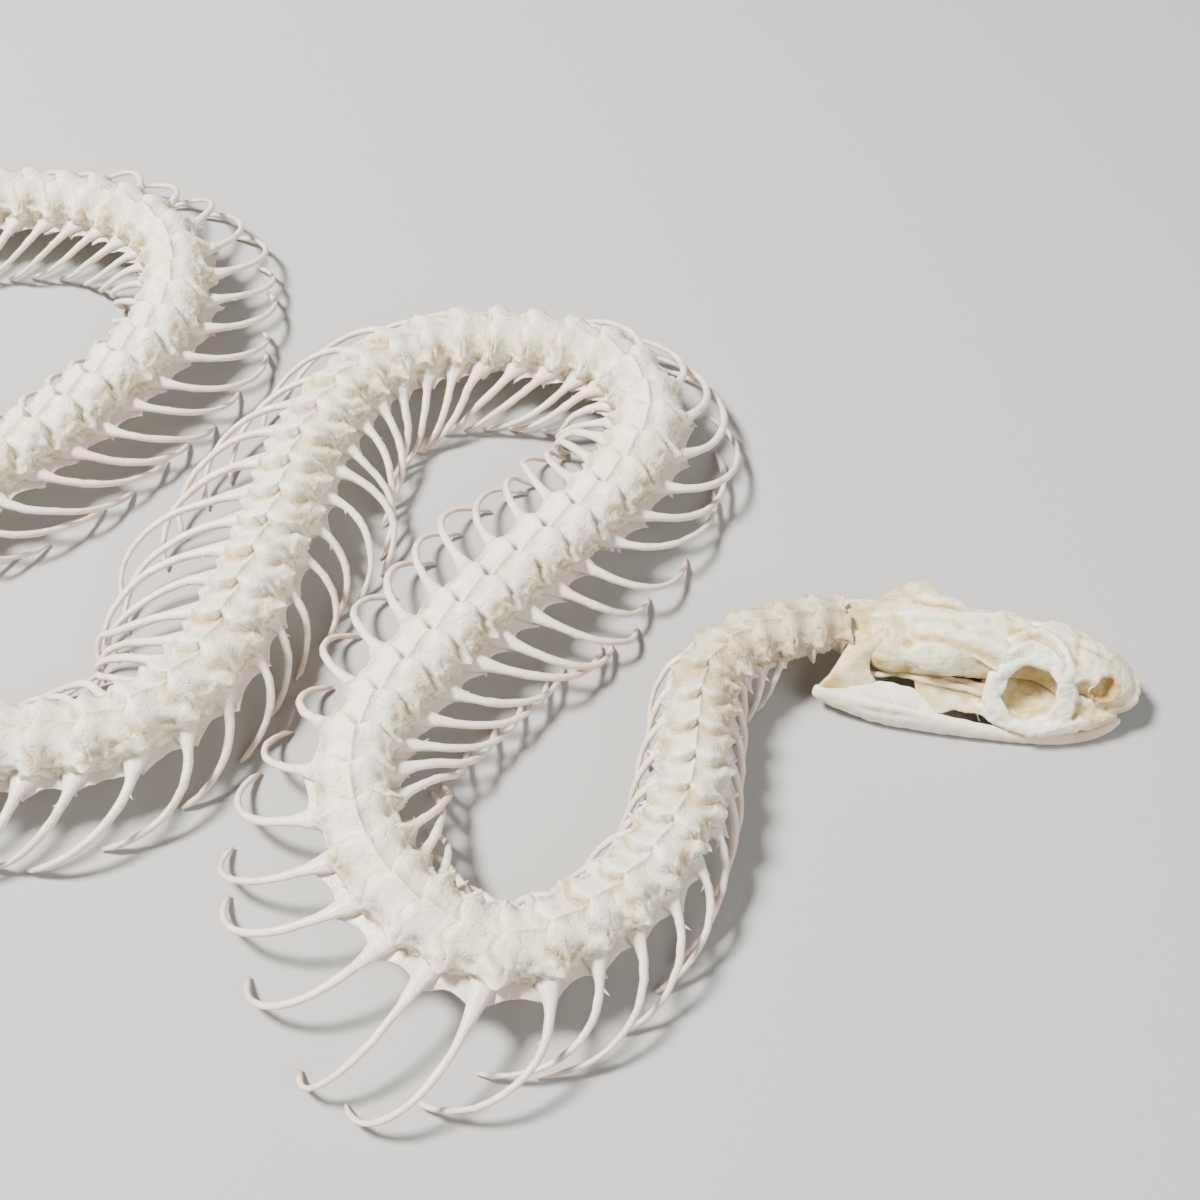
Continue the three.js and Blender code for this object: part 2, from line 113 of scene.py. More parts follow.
def roughness(points, size, seed, waves=28, spread=(0.7, 1.6)):
    # lumps of about this size: plane waves of random direction and phase, added up
    rng = np.random.default_rng(seed)
    direction = unit(rng.normal(size=(waves, 3)))
    pitch = 2 * math.pi / (size * rng.uniform(*spread, waves))
    phase = rng.uniform(0, 2 * math.pi, waves)
    total = np.zeros(points.shape[:-1])
    for k in range(waves):
        total += np.sin(points @ direction[k] * pitch[k] + phase[k])
    return total / math.sqrt(waves)


def lumps(points, form, seed):
    # unevenness of a form, which is its height and its size
    height, size = form
    return height * roughness(points, size, seed)


# Meshes

def gridQuads(rings, around):
    # quads between neighbouring rings, each ring closed on itself
    r, k = np.meshgrid(np.arange(rings - 1), np.arange(around), indexing="ij")
    a = r * around + k
    b = r * around + (k + 1) % around
    return np.stack([a, b, b + around, a + around], -1).reshape(-1, 4)


def tubes(rings, values=None):
    # rings: tubes, rings, points, 3. Each tube gets a middle point at both ends, and all come
    # back as one shell set: points, quads, triangles, value of each point.
    many, count, around, _ = rings.shape
    if values is None:
        values = np.zeros((many, count, around))
    ends = rings[:, [0, -1]].mean(2)
    points = np.concatenate([rings.reshape(many, -1, 3), ends], 1)
    amounts = np.concatenate([values.reshape(many, -1), values[:, [0, -1]].mean(2)], 1)
    size = count * around + 2
    quads = gridQuads(count, around)
    k = np.arange(around)
    nextK = (k + 1) % around
    last = (count - 1) * around
    startCap = np.stack([np.full(around, size - 2), nextK, k], -1)
    endCap = np.stack([np.full(around, size - 1), last + k, last + nextK], -1)
    triangles = np.concatenate([startCap, endCap])
    offset = (np.arange(many) * size)[:, None, None]
    points = points.reshape(-1, 3)
    quads = (quads[None] + offset).reshape(-1, 4)
    triangles = (triangles[None] + offset).reshape(-1, 3)
    if signedVolume(points, quads, triangles) < 0:
        quads, triangles = quads[:, ::-1], triangles[:, ::-1]
    return points, quads, triangles, amounts.reshape(-1)


def signedVolume(points, quads, triangles):
    # sum over triangles of a . (b x c) / 6, which is negative where faces point in
    faces = np.concatenate([quads[:, [0, 1, 2]], quads[:, [0, 2, 3]], triangles])
    a, b, c = (points[faces[:, k]] for k in range(3))
    return (a * np.cross(b, c)).sum() / 6


def joined(shells):
    # several shell sets as one
    points, quads, triangles, amounts, start = [], [], [], [], 0
    for p, q, t, v in shells:
        points.append(p)
        quads.append(q + start)
        triangles.append(t + start)
        amounts.append(v)
        start += len(p)
    return tuple(np.concatenate(x) for x in (points, quads, triangles, amounts))


def placeInScene(name, data):
    made = bpy.data.objects.new(name, data)
    bpy.context.scene.collection.objects.link(made)
    return made


def meshObject(name, shells):
    # one smooth object from several shell sets
    points, quads, triangles, amounts = joined(shells)
    mesh = bpy.data.meshes.new(name)
    mesh.from_pydata(toFrame(points).tolist(), [], quads.tolist() + triangles.tolist())
    setAmounts(mesh, amounts)
    mesh.polygons.foreach_set("use_smooth", [True] * len(mesh.polygons))
    mesh.update()
    return placeInScene(name, mesh)


def setAmounts(mesh, amounts):
    # how much tan each point takes, 0 to 1, for the finishes: real stains together with painted shade in
    # hollows, seams and creases
    layer = mesh.attributes.get("stainAndPaintedShade") or mesh.attributes.new("stainAndPaintedShade", "FLOAT", "POINT")
    layer.data.foreach_set("value", np.clip(amounts, 0, 1).astype(np.float32))


def settle(made, material, nodes):
    # finish, slot and frame for one piece
    made.data.materials.clear()
    made.data.materials.append(material)
    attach(made, "root")
    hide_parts(*nodes)
    return made


# Finishes

class Wire:
    # a node socket that takes part in Python sums
    def __init__(self, tree, socket):
        self.tree, self.socket = tree, socket

    def node(self, kind, settings, inputs, output=0):
        made = self.tree.nodes.new(kind)
        for name, value in settings.items():
            setattr(made, name, value)
        for key, value in inputs.items():
            if isinstance(value, Wire):
                self.tree.links.new(value.socket, made.inputs[key])
            else:
                made.inputs[key].default_value = value
        return Wire(self.tree, made.outputs[output])

    def maths(self, operation, *values, clamp=False):
        settings = {"operation": operation, "use_clamp": clamp}
        return self.node("ShaderNodeMath", settings, dict(enumerate(values)))

    def __add__(self, other):
        return self.maths("ADD", self, other)

    def __radd__(self, other):
        return self.maths("ADD", other, self)

    def __sub__(self, other):
        return self.maths("SUBTRACT", self, other)

    def __rsub__(self, other):
        return self.maths("SUBTRACT", other, self)

    def __mul__(self, other):
        return self.maths("MULTIPLY", self, other)

    def __rmul__(self, other):
        return self.maths("MULTIPLY", other, self)


def mixColour(factor, low, high):
    # colour between low and high by a factor
    settings = {"data_type": "RGBA"}
    return factor.node("ShaderNodeMix", settings, {0: factor, 6: low, 7: high}, output=2)


bonePattern = {
    "blotchEdges": (0.42, 0.66), "speckEdges": (0.52, 0.72), "pitEdges": (0.30, 0.46),
    "tanPlain": 0.75, "tanBlotch": 0.5, "fineRelief": 0.6, "pitRelief": 0.6, "blotchRelief": 0.8,
    "bumpDistance": 0.00025, "fineRoughness": 0.18, "glowRadius": (0.0012, 0.0008, 0.0005), "specular": 0.42,
}


def boneFinish(name, look):
    # Ivory bone: pale, with cream blotches of a few millimetres and small cream specks,
    # tan where each point's amount asks for it, which is partly real stain and partly painted shade in the
    # hollows, and with a fine dry grain.
    material = bpy.data.materials.new(name)
    material.use_nodes = True
    tree = material.node_tree
    shader = tree.nodes["Principled BSDF"]
    start = Wire(tree, None)
    place = start.node("ShaderNodeTexCoord", {}, {}, output=3)
    stainAndPaintedShade = start.node("ShaderNodeAttribute", {"attribute_name": "stainAndPaintedShade"}, {}, output=2)

    def grain(size, detail, roughness=0.55):
        # noise with a size in millimetres
        inputs = {"Vector": place, "Scale": 1000 / size, "Detail": detail, "Roughness": roughness}
        return start.node("ShaderNodeTexNoise", {}, inputs)

    def spread(value, edges):
        # smooth step from 0 at the first edge to 1 at the second
        inputs = {0: value, 1: edges[0], 2: edges[1], 3: 0.0, 4: 1.0}
        return start.node("ShaderNodeMapRange", {"interpolation_type": "SMOOTHSTEP"}, inputs)

    blotch = spread(grain(look["blotch"], 3.0), bonePattern["blotchEdges"])
    speck = spread(grain(look["speck"], 4.0), bonePattern["speckEdges"])
    colour = mixColour(blotch * look["blotchAmount"], look["pale"], look["cream"])
    colour = mixColour(speck * look["speckAmount"], colour, look["cream"])
    uneven = bonePattern["tanPlain"] + bonePattern["tanBlotch"] * blotch
    # tan share from the mesh amounts: real stains mixed with painted shade
    tanShare = stainAndPaintedShade.maths("MULTIPLY", stainAndPaintedShade, uneven, clamp=True)
    colour = mixColour(tanShare * look["tanAmount"], colour, look["tan"])
    fine = grain(look["grain"], 3.0, 0.6)
    pits = spread(grain(look["pits"], 2.0), bonePattern["pitEdges"])
    relief = (bonePattern["fineRelief"] * fine + bonePattern["pitRelief"] * pits
              + bonePattern["blotchRelief"] * blotch)
    bumpInputs = {"Strength": look["bump"], "Distance": bonePattern["bumpDistance"], "Height": relief}
    bumps = start.node("ShaderNodeBump", {}, bumpInputs)
    tree.links.new(colour.socket, shader.inputs["Base Color"])
    rough = look["rough"] + bonePattern["fineRoughness"] * fine
    tree.links.new(rough.socket, shader.inputs["Roughness"])
    tree.links.new(bumps.socket, shader.inputs["Normal"])
    shader.inputs["Subsurface Weight"].default_value = look["glow"]
    shader.inputs["Subsurface Radius"].default_value = bonePattern["glowRadius"]
    shader.inputs["Subsurface Scale"].default_value = 1.0
    shader.inputs["Specular IOR Level"].default_value = bonePattern["specular"]
    return material


trunkLook = {
    "pale": (0.88, 0.84, 0.71, 1), "cream": (0.76, 0.67, 0.46, 1), "tan": (0.44, 0.33, 0.18, 1),
    "blotch": 4.0, "blotchAmount": 0.6, "speck": 0.9, "speckAmount": 0.35, "tanAmount": 0.85,
    "grain": 0.35, "pits": 0.8, "bump": 0.55, "rough": 0.36, "glow": 0.12,
}
ribLook = dict(trunkLook, blotch=3.0, tanAmount=0.75, bump=0.3, rough=0.26, glow=0.2)
ribLook["pale"] = (0.84, 0.78, 0.69, 1)
ribLook["cream"] = (0.74, 0.63, 0.51, 1)
ribLook["tan"] = (0.66, 0.47, 0.41, 1)
skullLook = dict(trunkLook, blotchAmount=0.65, speckAmount=0.25, tanAmount=1.0, bump=0.35, rough=0.30)
skullLook["pale"] = (0.87, 0.81, 0.63, 1)
skullLook["cream"] = (0.77, 0.65, 0.37, 1)
skullLook["tan"] = (0.50, 0.36, 0.12, 1)
jawLook = dict(skullLook, blotchAmount=0.4, tanAmount=0.85, bump=0.25, rough=0.27)
jawLook["pale"] = (0.90, 0.85, 0.72, 1)
jawLook["cream"] = (0.83, 0.73, 0.51, 1)
jawLook["tan"] = (0.72, 0.50, 0.36, 1)
eyeLook = dict(jawLook, tanAmount=0.95)
eyeLook["tan"] = (0.57, 0.42, 0.14, 1)
finishes = {
    "trunk": boneFinish("ivoryTrunkBone", trunkLook),
    "rib": boneFinish("thinRibBone", ribLook),
    "tail": boneFinish("ivoryTailBone", trunkLook),
    "skull": boneFinish("creamSkullBone", skullLook),
    "jaw": boneFinish("smoothJawBone", jawLook),
    "eye": boneFinish("eyeRingBone", eyeLook),
}
print("finishes made")

# The line of the body

body = {
    "trunkCount": 130, "tailCount": 60, "pitch": 5.2, "trunkLengths": 13, "tailLengths": 4,
    # size of vertebrae along the body: vertebra number, size
    "sizes": ([0, 26, 95, 130, 190], [0.78, 1.0, 1.0, 0.8, 0.16]),
    # height of the spine line: vertebra number, millimetres
    "heights": ([0, 11, 95, 130], [7.2, 8.3, 8.3, 3.04]),
    "keelDepth": 3.8, "floorGap": 0.02, "routeSteps": 24,
}
route = [
    (29.9, -2.7), (24.0, -3.8), (17.4, -6.4), (12.6, -11.8), (11.0, -20.5), (9.4, -29.5), (3.0, -39.3),
    (-8.5, -46.0), (-19.5, -41.6), (-26.3, -31.8), (-27.0, -20.0), (-19.0, -6.2), (-8.5, 6.6), (1.8, 18.6),
    (6.6, 31.0), (2.5, 41.5), (-8.0, 46.4), (-21.5, 46.8), (-33.0, 39.8), (-39.2, 27.0), (-41.2, 13.5),
    (-43.4, 2.2), (-47.0, -10.5), (-55.5, -19.0), (-67.0, -21.0), (-79.5, -20.6), (-90.0, -13.0),
    (-94.5, 1.0), (-90.0, 15.5), (-79.5, 24.0), (-69.5, 37.0), (-62.8, 52.0), (-65.3, 68.0), (-76.0, 77.6),
    (-92.0, 80.5), (-107.0, 79.0), (-119.5, 71.5), (-127.0, 59.0), (-128.5, 44.0), (-126.5, 29.0),
    (-127.0, 14.0), (-131.0, -0.5), (-133.5, -15.5), (-130.0, -30.0), (-119.5, -40.5), (-105.5, -45.5),
    (-93.0, -52.0), (-87.5, -64.0), (-93.0, -76.0), (-106.0, -80.5), (-120.0, -79.0), (-133.0, -73.5),
    (-144.0, -64.5), (-151.0, -52.5), (-154.0, -39.0), (-154.5, -26.0), (-158.0, -14.0), (-165.0, -3.0),
    (-175.0, 4.0), (-188.0, 9.0),
]
spine = catmullRows(route, body["routeSteps"])
spineReach = np.concatenate([[0], np.cumsum(np.linalg.norm(np.diff(spine, axis=0), axis=1))])
spineBack = unit(np.gradient(spine, axis=0))


def sizeOf(i):
    # size of vertebra i, read off the table
    return np.interp(i, *body["sizes"])


vertebraTotal = body["trunkCount"] + body["tailCount"]
vertebraFront = np.concatenate([[0], np.cumsum(body["pitch"] * sizeOf(np.arange(vertebraTotal)))])


def distanceOf(i):
    # distance of the front end of vertebra i along the spine line
    return np.interp(i, np.arange(vertebraTotal + 1), vertebraFront)


def heightOf(i):
    # Height of the spine line at vertebra i: on the trunk read off the table, on the tail the
    # keel's depth times the size.
    onKeels = body["keelDepth"] * sizeOf(i)
    return np.where(i < body["trunkCount"], np.interp(i, *body["heights"]), onKeels)


def placeAt(distance, sideways, height):
    # point this far back along the spine line, this far to the left of it, at this height
    x, y = (np.interp(distance, spineReach, spine[:, k]) for k in (0, 1))
    backX, backY = (np.interp(distance, spineReach, spineBack[:, k]) for k in (0, 1))
    length = np.hypot(backX, backY)
    return np.stack([x + backY / length * sideways, y - backX / length * sideways,
                     height + 0 * x], -1)


# The column

vertebra = {
    "stepsPerVertebra": 26, "stepsPerPoint": 4, "tailSteps": 16, "endGap": 0.003, "halfWidth": 4.3,
    # Half section from the roof to the keel: reach and rise, then what a joint adds to both,
    # then what the pillar below a rib adds to both.
    "trunkSection": [
        (0.0, 3.6, 0, 0, 0, 0), (0.5, 3.5, 0, 0, 0, 0), (1.9, 3.25, 0, 0, 0, 0), (3.5, 2.5, 0, 0.15, 0, 0),
        (4.3, 1.2, 1.15, 0.3, 0, 0), (4.05, 0.15, 1.15, 0.3, 0.45, 0), (4.25, -1.2, 0, 0, 0.875, 0),
        (3.95, -2.4, 0, 0, 1.25, -0.2), (2.3, -3.35, 0, 0, 0, 0), (0.0, -3.65, 0, -0.1, 0, 0),
    ],
    # the same for rows 4 to 8 of a tail vertebra, which is slimmer below
    "tailMiddle": [
        (3.9, 1.2, 1.15, -0.3, 0, 0), (3.65, 0.15, 1.15, -0.3, 0.135, 0), (3.06, -1.2, 0, 0, 0.189, 0),
        (2.844, -2.4, 0, 0, 0.27, -0.06), (1.656, -3.35, 0, 0, 0, 0),
    ],
    "jointLength": 0.17, "jointUneven": 0.35,
    "pillarPhase": 0.22, "pillarLength": 0.12, "pillarUneven": 0.3,
    # the roof drops behind each arch's back edge, which bows back in a lobe on each side
    "roofFrom": (0.9, 2.0), "archEdge": 0.87, "archLobe": 0.24, "lobeSpan": 1.08,
    "archLip": 1.4, "lipMiddle": 0.45, "lipRise": (0.0, 0.92), "lipDrop": (0.95, 1.0),
    "crest": 0.22, "crestWidth": 0.26,
    # features of the roof: place and width across it, phase and length along it, height
    "facet": (0.98, 0.17, 0.0, 0.17, 0.5), "facetUneven": 0.5,
    "sink": (0.86, 0.15, 0.5, 0.22, 0.8), "dome": (0.45, 0.24, 0.82, 0.3, 0.45),
    # dried shreds: height and size, strongest on the flanks and along the roof's edge
    "lumps": (0.12, 1.5), "fibres": (0.06, 0.55), "edge": (0.95, 0.25), "roofShare": 0.3, "smallShare": 0.2,
    "neckTaper": 0.1, "neckEnds": (0, 1.2),
}
vertebra["tailSection"] = vertebra["trunkSection"][:4] + vertebra["tailMiddle"] + vertebra["trunkSection"][9:]
# tan of the column: painted shade in the seams, cavities and sunken places, real stains on the edges and the
# neck
columnStainAndShade = {
    "cavityReach": 8, "cavityDepth": 0.14, "sunkenShade": 0.75, "seamShade": 0.9, "seamLength": 0.13, "sink": 0.6,
    "edge": 0.16, "edgeBlotch": 0.5, "blotchSize": 1.1, "neck": 0.75, "neckEnds": (1, 12),
}


def columnShell(first, last, steps, table):
    # Closed tube along the spine line. Its section, half on each side, is a curve through the
    # table's points, whose reach and rise follow the phase, 0 to 1 within each vertebra: wings are
    # wide at the joints, and a pillar stands out low on the flank where each rib leaves.
    # The roof then rises towards each arch's two-lobed back edge and drops behind it.
    i = np.linspace(first + vertebra["endGap"], last - vertebra["endGap"], (last - first) * steps + 1)
    phase = i % 1
    size = sizeOf(i)[:, None]
    rng = np.random.default_rng(seeds["vertebra"] + first)
    whole = np.arange(first, last + 2)

    def uneven(amount):
        # 1 plus a random share of the amount, which changes from vertebra to vertebra
        return 1 + amount * np.interp(i, whole, rng.uniform(-1, 1, len(whole)))

    def half(side):
        # points of one half section: table values, with the joint's and the pillar's parts added
        joint = bump(phase, 0.0, vertebra["jointLength"])
        pillar = bump(phase, vertebra["pillarPhase"], vertebra["pillarLength"])
        pillar = pillar * uneven(vertebra["pillarUneven"])
        wideJoint = joint * uneven(vertebra["jointUneven"])
        return [np.stack([side * (reach + jointOut * wideJoint + pillarOut * pillar),
                          rise + jointUp * joint + pillarUp * pillar], -1)
                for reach, rise, jointOut, jointUp, pillarOut, pillarUp in table]

    left, right = half(1), half(-1)
    controls = np.stack(left + right[-2:0:-1], 0)
    section = catmullRows(controls, vertebra["stepsPerPoint"], closed=True).transpose(1, 0, 2)
    taper = 1 - vertebra["neckTaper"] * (1 - ramp(*vertebra["neckEnds"], i))[:, None]
    reach, rise = section[..., 0] * taper, section[..., 1] * taper
    across = np.abs(reach) / vertebra["halfWidth"]
    roof = ramp(*vertebra["roofFrom"], rise)

    def feature(name):
        # bell across the roof times a bump along it
        place, width, at, length = vertebra[name][:4]
        return bell(across, place, width) * bump(phase[:, None], at, length)

    lobe = np.sin(math.pi * np.clip(across * vertebra["lobeSpan"], 0, 1))
    behind = (i[:, None] - (vertebra["archEdge"] + vertebra["archLobe"] * lobe)) % 1
    lip = between(vertebra["lipRise"], vertebra["lipDrop"], behind)
    crestLine = np.exp(-(reach / vertebra["crestWidth"]) ** 2)
    facet = feature("facet") * uneven(vertebra["facetUneven"])[:, None]
    sink = feature("sink")
    rise = rise + roof * (vertebra["archLip"] * (lip - vertebra["lipMiddle"]) + vertebra["crest"] * crestLine
                          + vertebra["dome"][-1] * feature("dome") + vertebra["facet"][-1] * facet
                          - vertebra["sink"][-1] * sink)
    points = placeAt(distanceOf(i)[:, None] + 0 * reach, reach * size, heightOf(i)[:, None] + rise * size)
    outward = unit(points - placeAt(distanceOf(i), 0 * i, heightOf(i))[:, None])
    rough = (lumps(points, vertebra["lumps"], seeds["columnLumps"])
             + lumps(points, vertebra["fibres"], seeds["columnFibres"]))
    edge = np.maximum(1 - roof, bell(across, *vertebra["edge"]))
    rough *= (vertebra["roofShare"] + edge) * np.minimum(size + vertebra["smallShare"], 1)
    points = points + outward * rough[..., None]
    points[..., 2] = np.maximum(points[..., 2], body["floorGap"])
    return tubes(points[None], stainAndShadeOfColumn(points, outward, i, roof, behind, sink, edge)[None])


def stainAndShadeOfColumn(points, outward, i, roof, behind, sink, edge):
    # How much tan each point of a column takes: painted shade in the seam behind each arch and in the sunken
    # places, and real stains in patches along the ragged edge and over the whole neck. A place is sunken by
    # its gap up to the skin blurred over its neighbours.
    blurred = points
    for _ in range(columnStainAndShade["cavityReach"]):
        beside = (np.roll(blurred, 1, 1) + np.roll(blurred, -1, 1)) / 2
        ahead = np.concatenate([blurred[:1], (blurred[:-2] + blurred[2:]) / 2, blurred[-1:]])
        blurred = (blurred * 2 + beside + ahead) / 4
    # painted shade where the skin lies below its blurred surroundings
    sunkenShade = ((blurred - points) * outward).sum(-1) / columnStainAndShade["cavityDepth"]
    seamShade = np.exp(-(behind / columnStainAndShade["seamLength"]) ** 2)
    patches = ramp(0.0, 1.0, roughness(points, columnStainAndShade["blotchSize"], seeds["columnStainAndShade"]))
    # painted shade in the seam and the sunken places, then real stains on the edges and over the neck
    return (roof * (columnStainAndShade["seamShade"] * seamShade + columnStainAndShade["sink"] * sink)
            + columnStainAndShade["sunkenShade"] * np.clip(sunkenShade, 0, 1)
            + edge * (columnStainAndShade["edge"] + columnStainAndShade["edgeBlotch"] * patches)
            + columnStainAndShade["neck"] * (1 - ramp(*columnStainAndShade["neckEnds"], i[:, None])))


# Ribs

ribs = {
    "first": 2, "phase": 0.22, "rootReach": 3.6, "rootHeight": -1.0, "tipHeight": 0.3, "floorGap": 0.36,
    # middle weights of the curves: backward, outward, and the height as a share of the root's
    "backCurve": (0.08, 0.5), "outCurve": (0.7, 1.3), "heightCurve": (1, 0.5),
    "reachVary": 0.07, "sweepVary": 0.12, "bowVary": 0.05, "liftRange": (-0.6, 0.5), "sizeVary": 0.08,
    "around": 8, "rings": 20, "crowding": 1.25, "shaft": 0.57, "tip": 0.36, "thickness": 0.9,
    "flare": 1.15, "flareThick": 0.45, "flareEnd": 0.115, "knob": 0.07, "knobAt": (0.965, 0.04),
    "endScale": 0.45, "smallest": 0.75, "skin": 0.045, "skinSize": 0.9, "stain": 0.15, "tipStain": 0.75,
    "shaftEnds": (0.1, 1), "stainEnds": (0.15, 1),
}
spurs = {
    "share": 0.5, "ringRange": (4, 8), "lengthRange": (0.8, 1.5), "backLean": 0.9, "around": 5,
    "places": (0, 0.45, 0.8, 1.0), "radii": (0.26, 0.17, 0.08, 0.02), "stain": 0.6,
}
webs = {
    "steps": 11, "around": 14, "inner": 3.6, "reach": 4.4, "bow": 0.085, "length": 1.2,
    "lengthRange": (0.55, 1.25), "scallop": 1.6, "slope": 0.3, "below": 0.1, "thickness": 0.12,
    "edgeThinning": 0.5, "skin": 0.12, "skinSize": 1.4, "stain": 0.55,
}
# Lie of the ribs: vertebra, widest reach, backward sweep, share of the reach kept at the tip
rightRibLie = [
    (2, 5.4, 6.0, 0.84), (6, 5.8, 8.0, 0.84), (9, 7.0, 10.5, 0.9), (11, 9.6, 10.8, 0.98),
    (13, 11.0, 10.2, 1.05), (15, 17.5, 6.0, 1.0), (16, 19.0, 5.0, 0.97), (18, 15.6, 7.2, 1.0),
    (20, 14.2, 7.0, 0.92), (22, 12.6, 6.6, 0.88), (25, 15.0, 12.0, 0.9), (28, 16.2, 15.0, 0.8),
    (31, 14.5, 15.5, 0.78), (35, 10.5, 16.0, 0.84), (44, 11.0, 15.5, 0.9), (47, 12.6, 11.5, 0.92),
    (49, 10.0, 9.0, 0.92), (52, 7.6, 8.0, 0.85), (54, 8.6, 8.6, 1.0), (56, 12.0, 11.0, 1.0),
    (60, 11.5, 12.5, 0.84), (68, 13.0, 12.0, 0.84), (80, 10.0, 13.0, 0.84), (95, 13.0, 12.0, 0.84),
    (115, 11.0, 11.0, 0.84), (129, 6.5, 6.0, 0.84),
]
leftRibLie = [
    (2, 5.6, 6.0, 0.84), (8, 6.6, 9.0, 0.84), (12, 6.5, 10.5, 0.8), (16, 7.2, 14.5, 0.75),
    (18, 10.0, 17.0, 0.66), (22, 12.5, 18.0, 0.66), (25, 13.5, 16.5, 0.75), (27, 14.0, 11.0, 0.84),
    (30, 12.2, 15.4, 0.75), (34, 11.8, 15.0, 0.84), (40, 11.0, 14.0, 0.84), (45, 13.5, 13.5, 0.9),
    (48, 18.0, 17.5, 0.95), (52, 16.5, 16.0, 0.9), (55, 12.0, 16.5, 0.84), (58, 8.4, 13.5, 0.84),
    (66, 9.5, 14.0, 0.84), (74, 13.0, 13.0, 0.84), (82, 14.0, 11.0, 0.84), (90, 12.5, 12.0, 0.84),
    (110, 12.0, 11.5, 0.84), (129, 6.5, 6.0, 0.84),
]


def ribShells(first, last, side, lie):
    # Each rib leaves the vertebra sideways, arches out, down and back, and hooks in at the tip.
    # Its section is an oval: broad along the body at the root, thin at the tip, with a small knob.
    rng = np.random.default_rng(seeds["vertebra"] + first * 2 + (side > 0))
    i = np.arange(max(first, ribs["first"]), last)
    size = sizeOf(i)[:, None]
    table = np.array(lie)

    def vary(amount, shape):
        # random numbers between minus and plus the amount
        return rng.uniform(-amount, amount, shape)

    reach = np.interp(i, table[:, 0], table[:, 1]) * (1 + vary(ribs["reachVary"], len(i)))
    sweep = np.interp(i, table[:, 0], table[:, 2]) * (1 + vary(ribs["sweepVary"], len(i)))
    kept = np.interp(i, table[:, 0], table[:, 3])[:, None]
    t = np.linspace(0, 1, ribs["rings"]) ** ribs["crowding"]
    rootReach = ribs["rootReach"] * size
    rootHeight = heightOf(i)[:, None] + ribs["rootHeight"] * size
    bow = vary(ribs["bowVary"], (len(i), 1))
    lift = rng.uniform(*ribs["liftRange"], (len(i), 1)) * np.sin(math.pi * t) ** 2
    backA, backB = (weight + bow for weight in ribs["backCurve"])
    heightA, heightB = (weight * rootHeight for weight in ribs["heightCurve"])
    distance = distanceOf(i + ribs["phase"])[:, None] + bezier(0, backA, backB, 1, t) * sweep[:, None]
    spread = bezier(0, *ribs["outCurve"], kept, t) * (reach[:, None] - rootReach)
    height = bezier(rootHeight, heightA, heightB, ribs["tipHeight"], t)
    middle = placeAt(distance, side * (rootReach + spread), height)
    middle[..., 2] = np.maximum(middle[..., 2] + lift, ribs["floorGap"])

    along = unit(np.gradient(middle, axis=1))
    across = unit(np.cross([0, 0, 1.0], along))
    up = np.cross(along, across)
    scale = np.maximum(size, ribs["smallest"]) * (1 + vary(ribs["sizeVary"], (len(i), 1)))
    shaft = ribs["shaft"] + (ribs["tip"] - ribs["shaft"]) * ramp(*ribs["shaftEnds"], t)
    knob = ribs["knob"] * bell(t, *ribs["knobAt"])
    flare = np.exp(-(t / ribs["flareEnd"]) ** 2)
    wide = (shaft + knob + ribs["flare"] * flare) * scale
    thick = (shaft * ribs["thickness"] + knob + ribs["flareThick"] * flare) * scale
    wide[:, -1] *= ribs["endScale"]
    thick[:, -1] *= ribs["endScale"]
    angle = circle(ribs["around"])
    rings = (middle[:, :, None] + across[:, :, None] * (wide[..., None] * np.cos(angle))[..., None]
             + up[:, :, None] * (thick[..., None] * np.sin(angle))[..., None])
    skin = ribs["skin"] * roughness(rings, ribs["skinSize"], seeds["ribSkin"])
    rings += unit(rings - middle[:, :, None]) * skin[..., None]
    stain = ribs["stain"] + ribs["tipStain"] * ramp(*ribs["stainEnds"], t)
    shells = [tubes(rings, np.broadcast_to(stain[None, :, None], rings.shape[:3]))]
    shells.append(spurShells(middle, across, along, rng))
    shells.append(webShells(i, side, reach, rng))
    return shells


def spurShells(middle, across, along, rng):
    # dried ligament spurs: small cones that leave some shafts backwards
    chosen = np.flatnonzero(rng.uniform(size=len(middle)) < spurs["share"])
    if not len(chosen):
        chosen = np.array([0])
    at = rng.integers(*spurs["ringRange"], len(chosen))
    sideways = across[chosen, at] * rng.choice([-1, 1], (len(chosen), 1))
    away = unit(sideways + spurs["backLean"] * along[chosen, at])
    length = rng.uniform(*spurs["lengthRange"], len(chosen))
    sideA = unit(np.cross(away, [0, 0, 1.0]))
    sideB = np.cross(away, sideA)
    angle = circle(spurs["around"])
    steps = np.array(spurs["places"]) * length[:, None]
    centre = middle[chosen, at][:, None] + away[:, None] * steps[..., None]
    ring = (sideA[:, None, None] * np.cos(angle)[:, None] + sideB[:, None, None] * np.sin(angle)[:, None])
    rings = centre[:, :, None] + ring * np.array(spurs["radii"])[None, :, None, None]
    return tubes(rings, np.full(rings.shape[:3], spurs["stain"]))


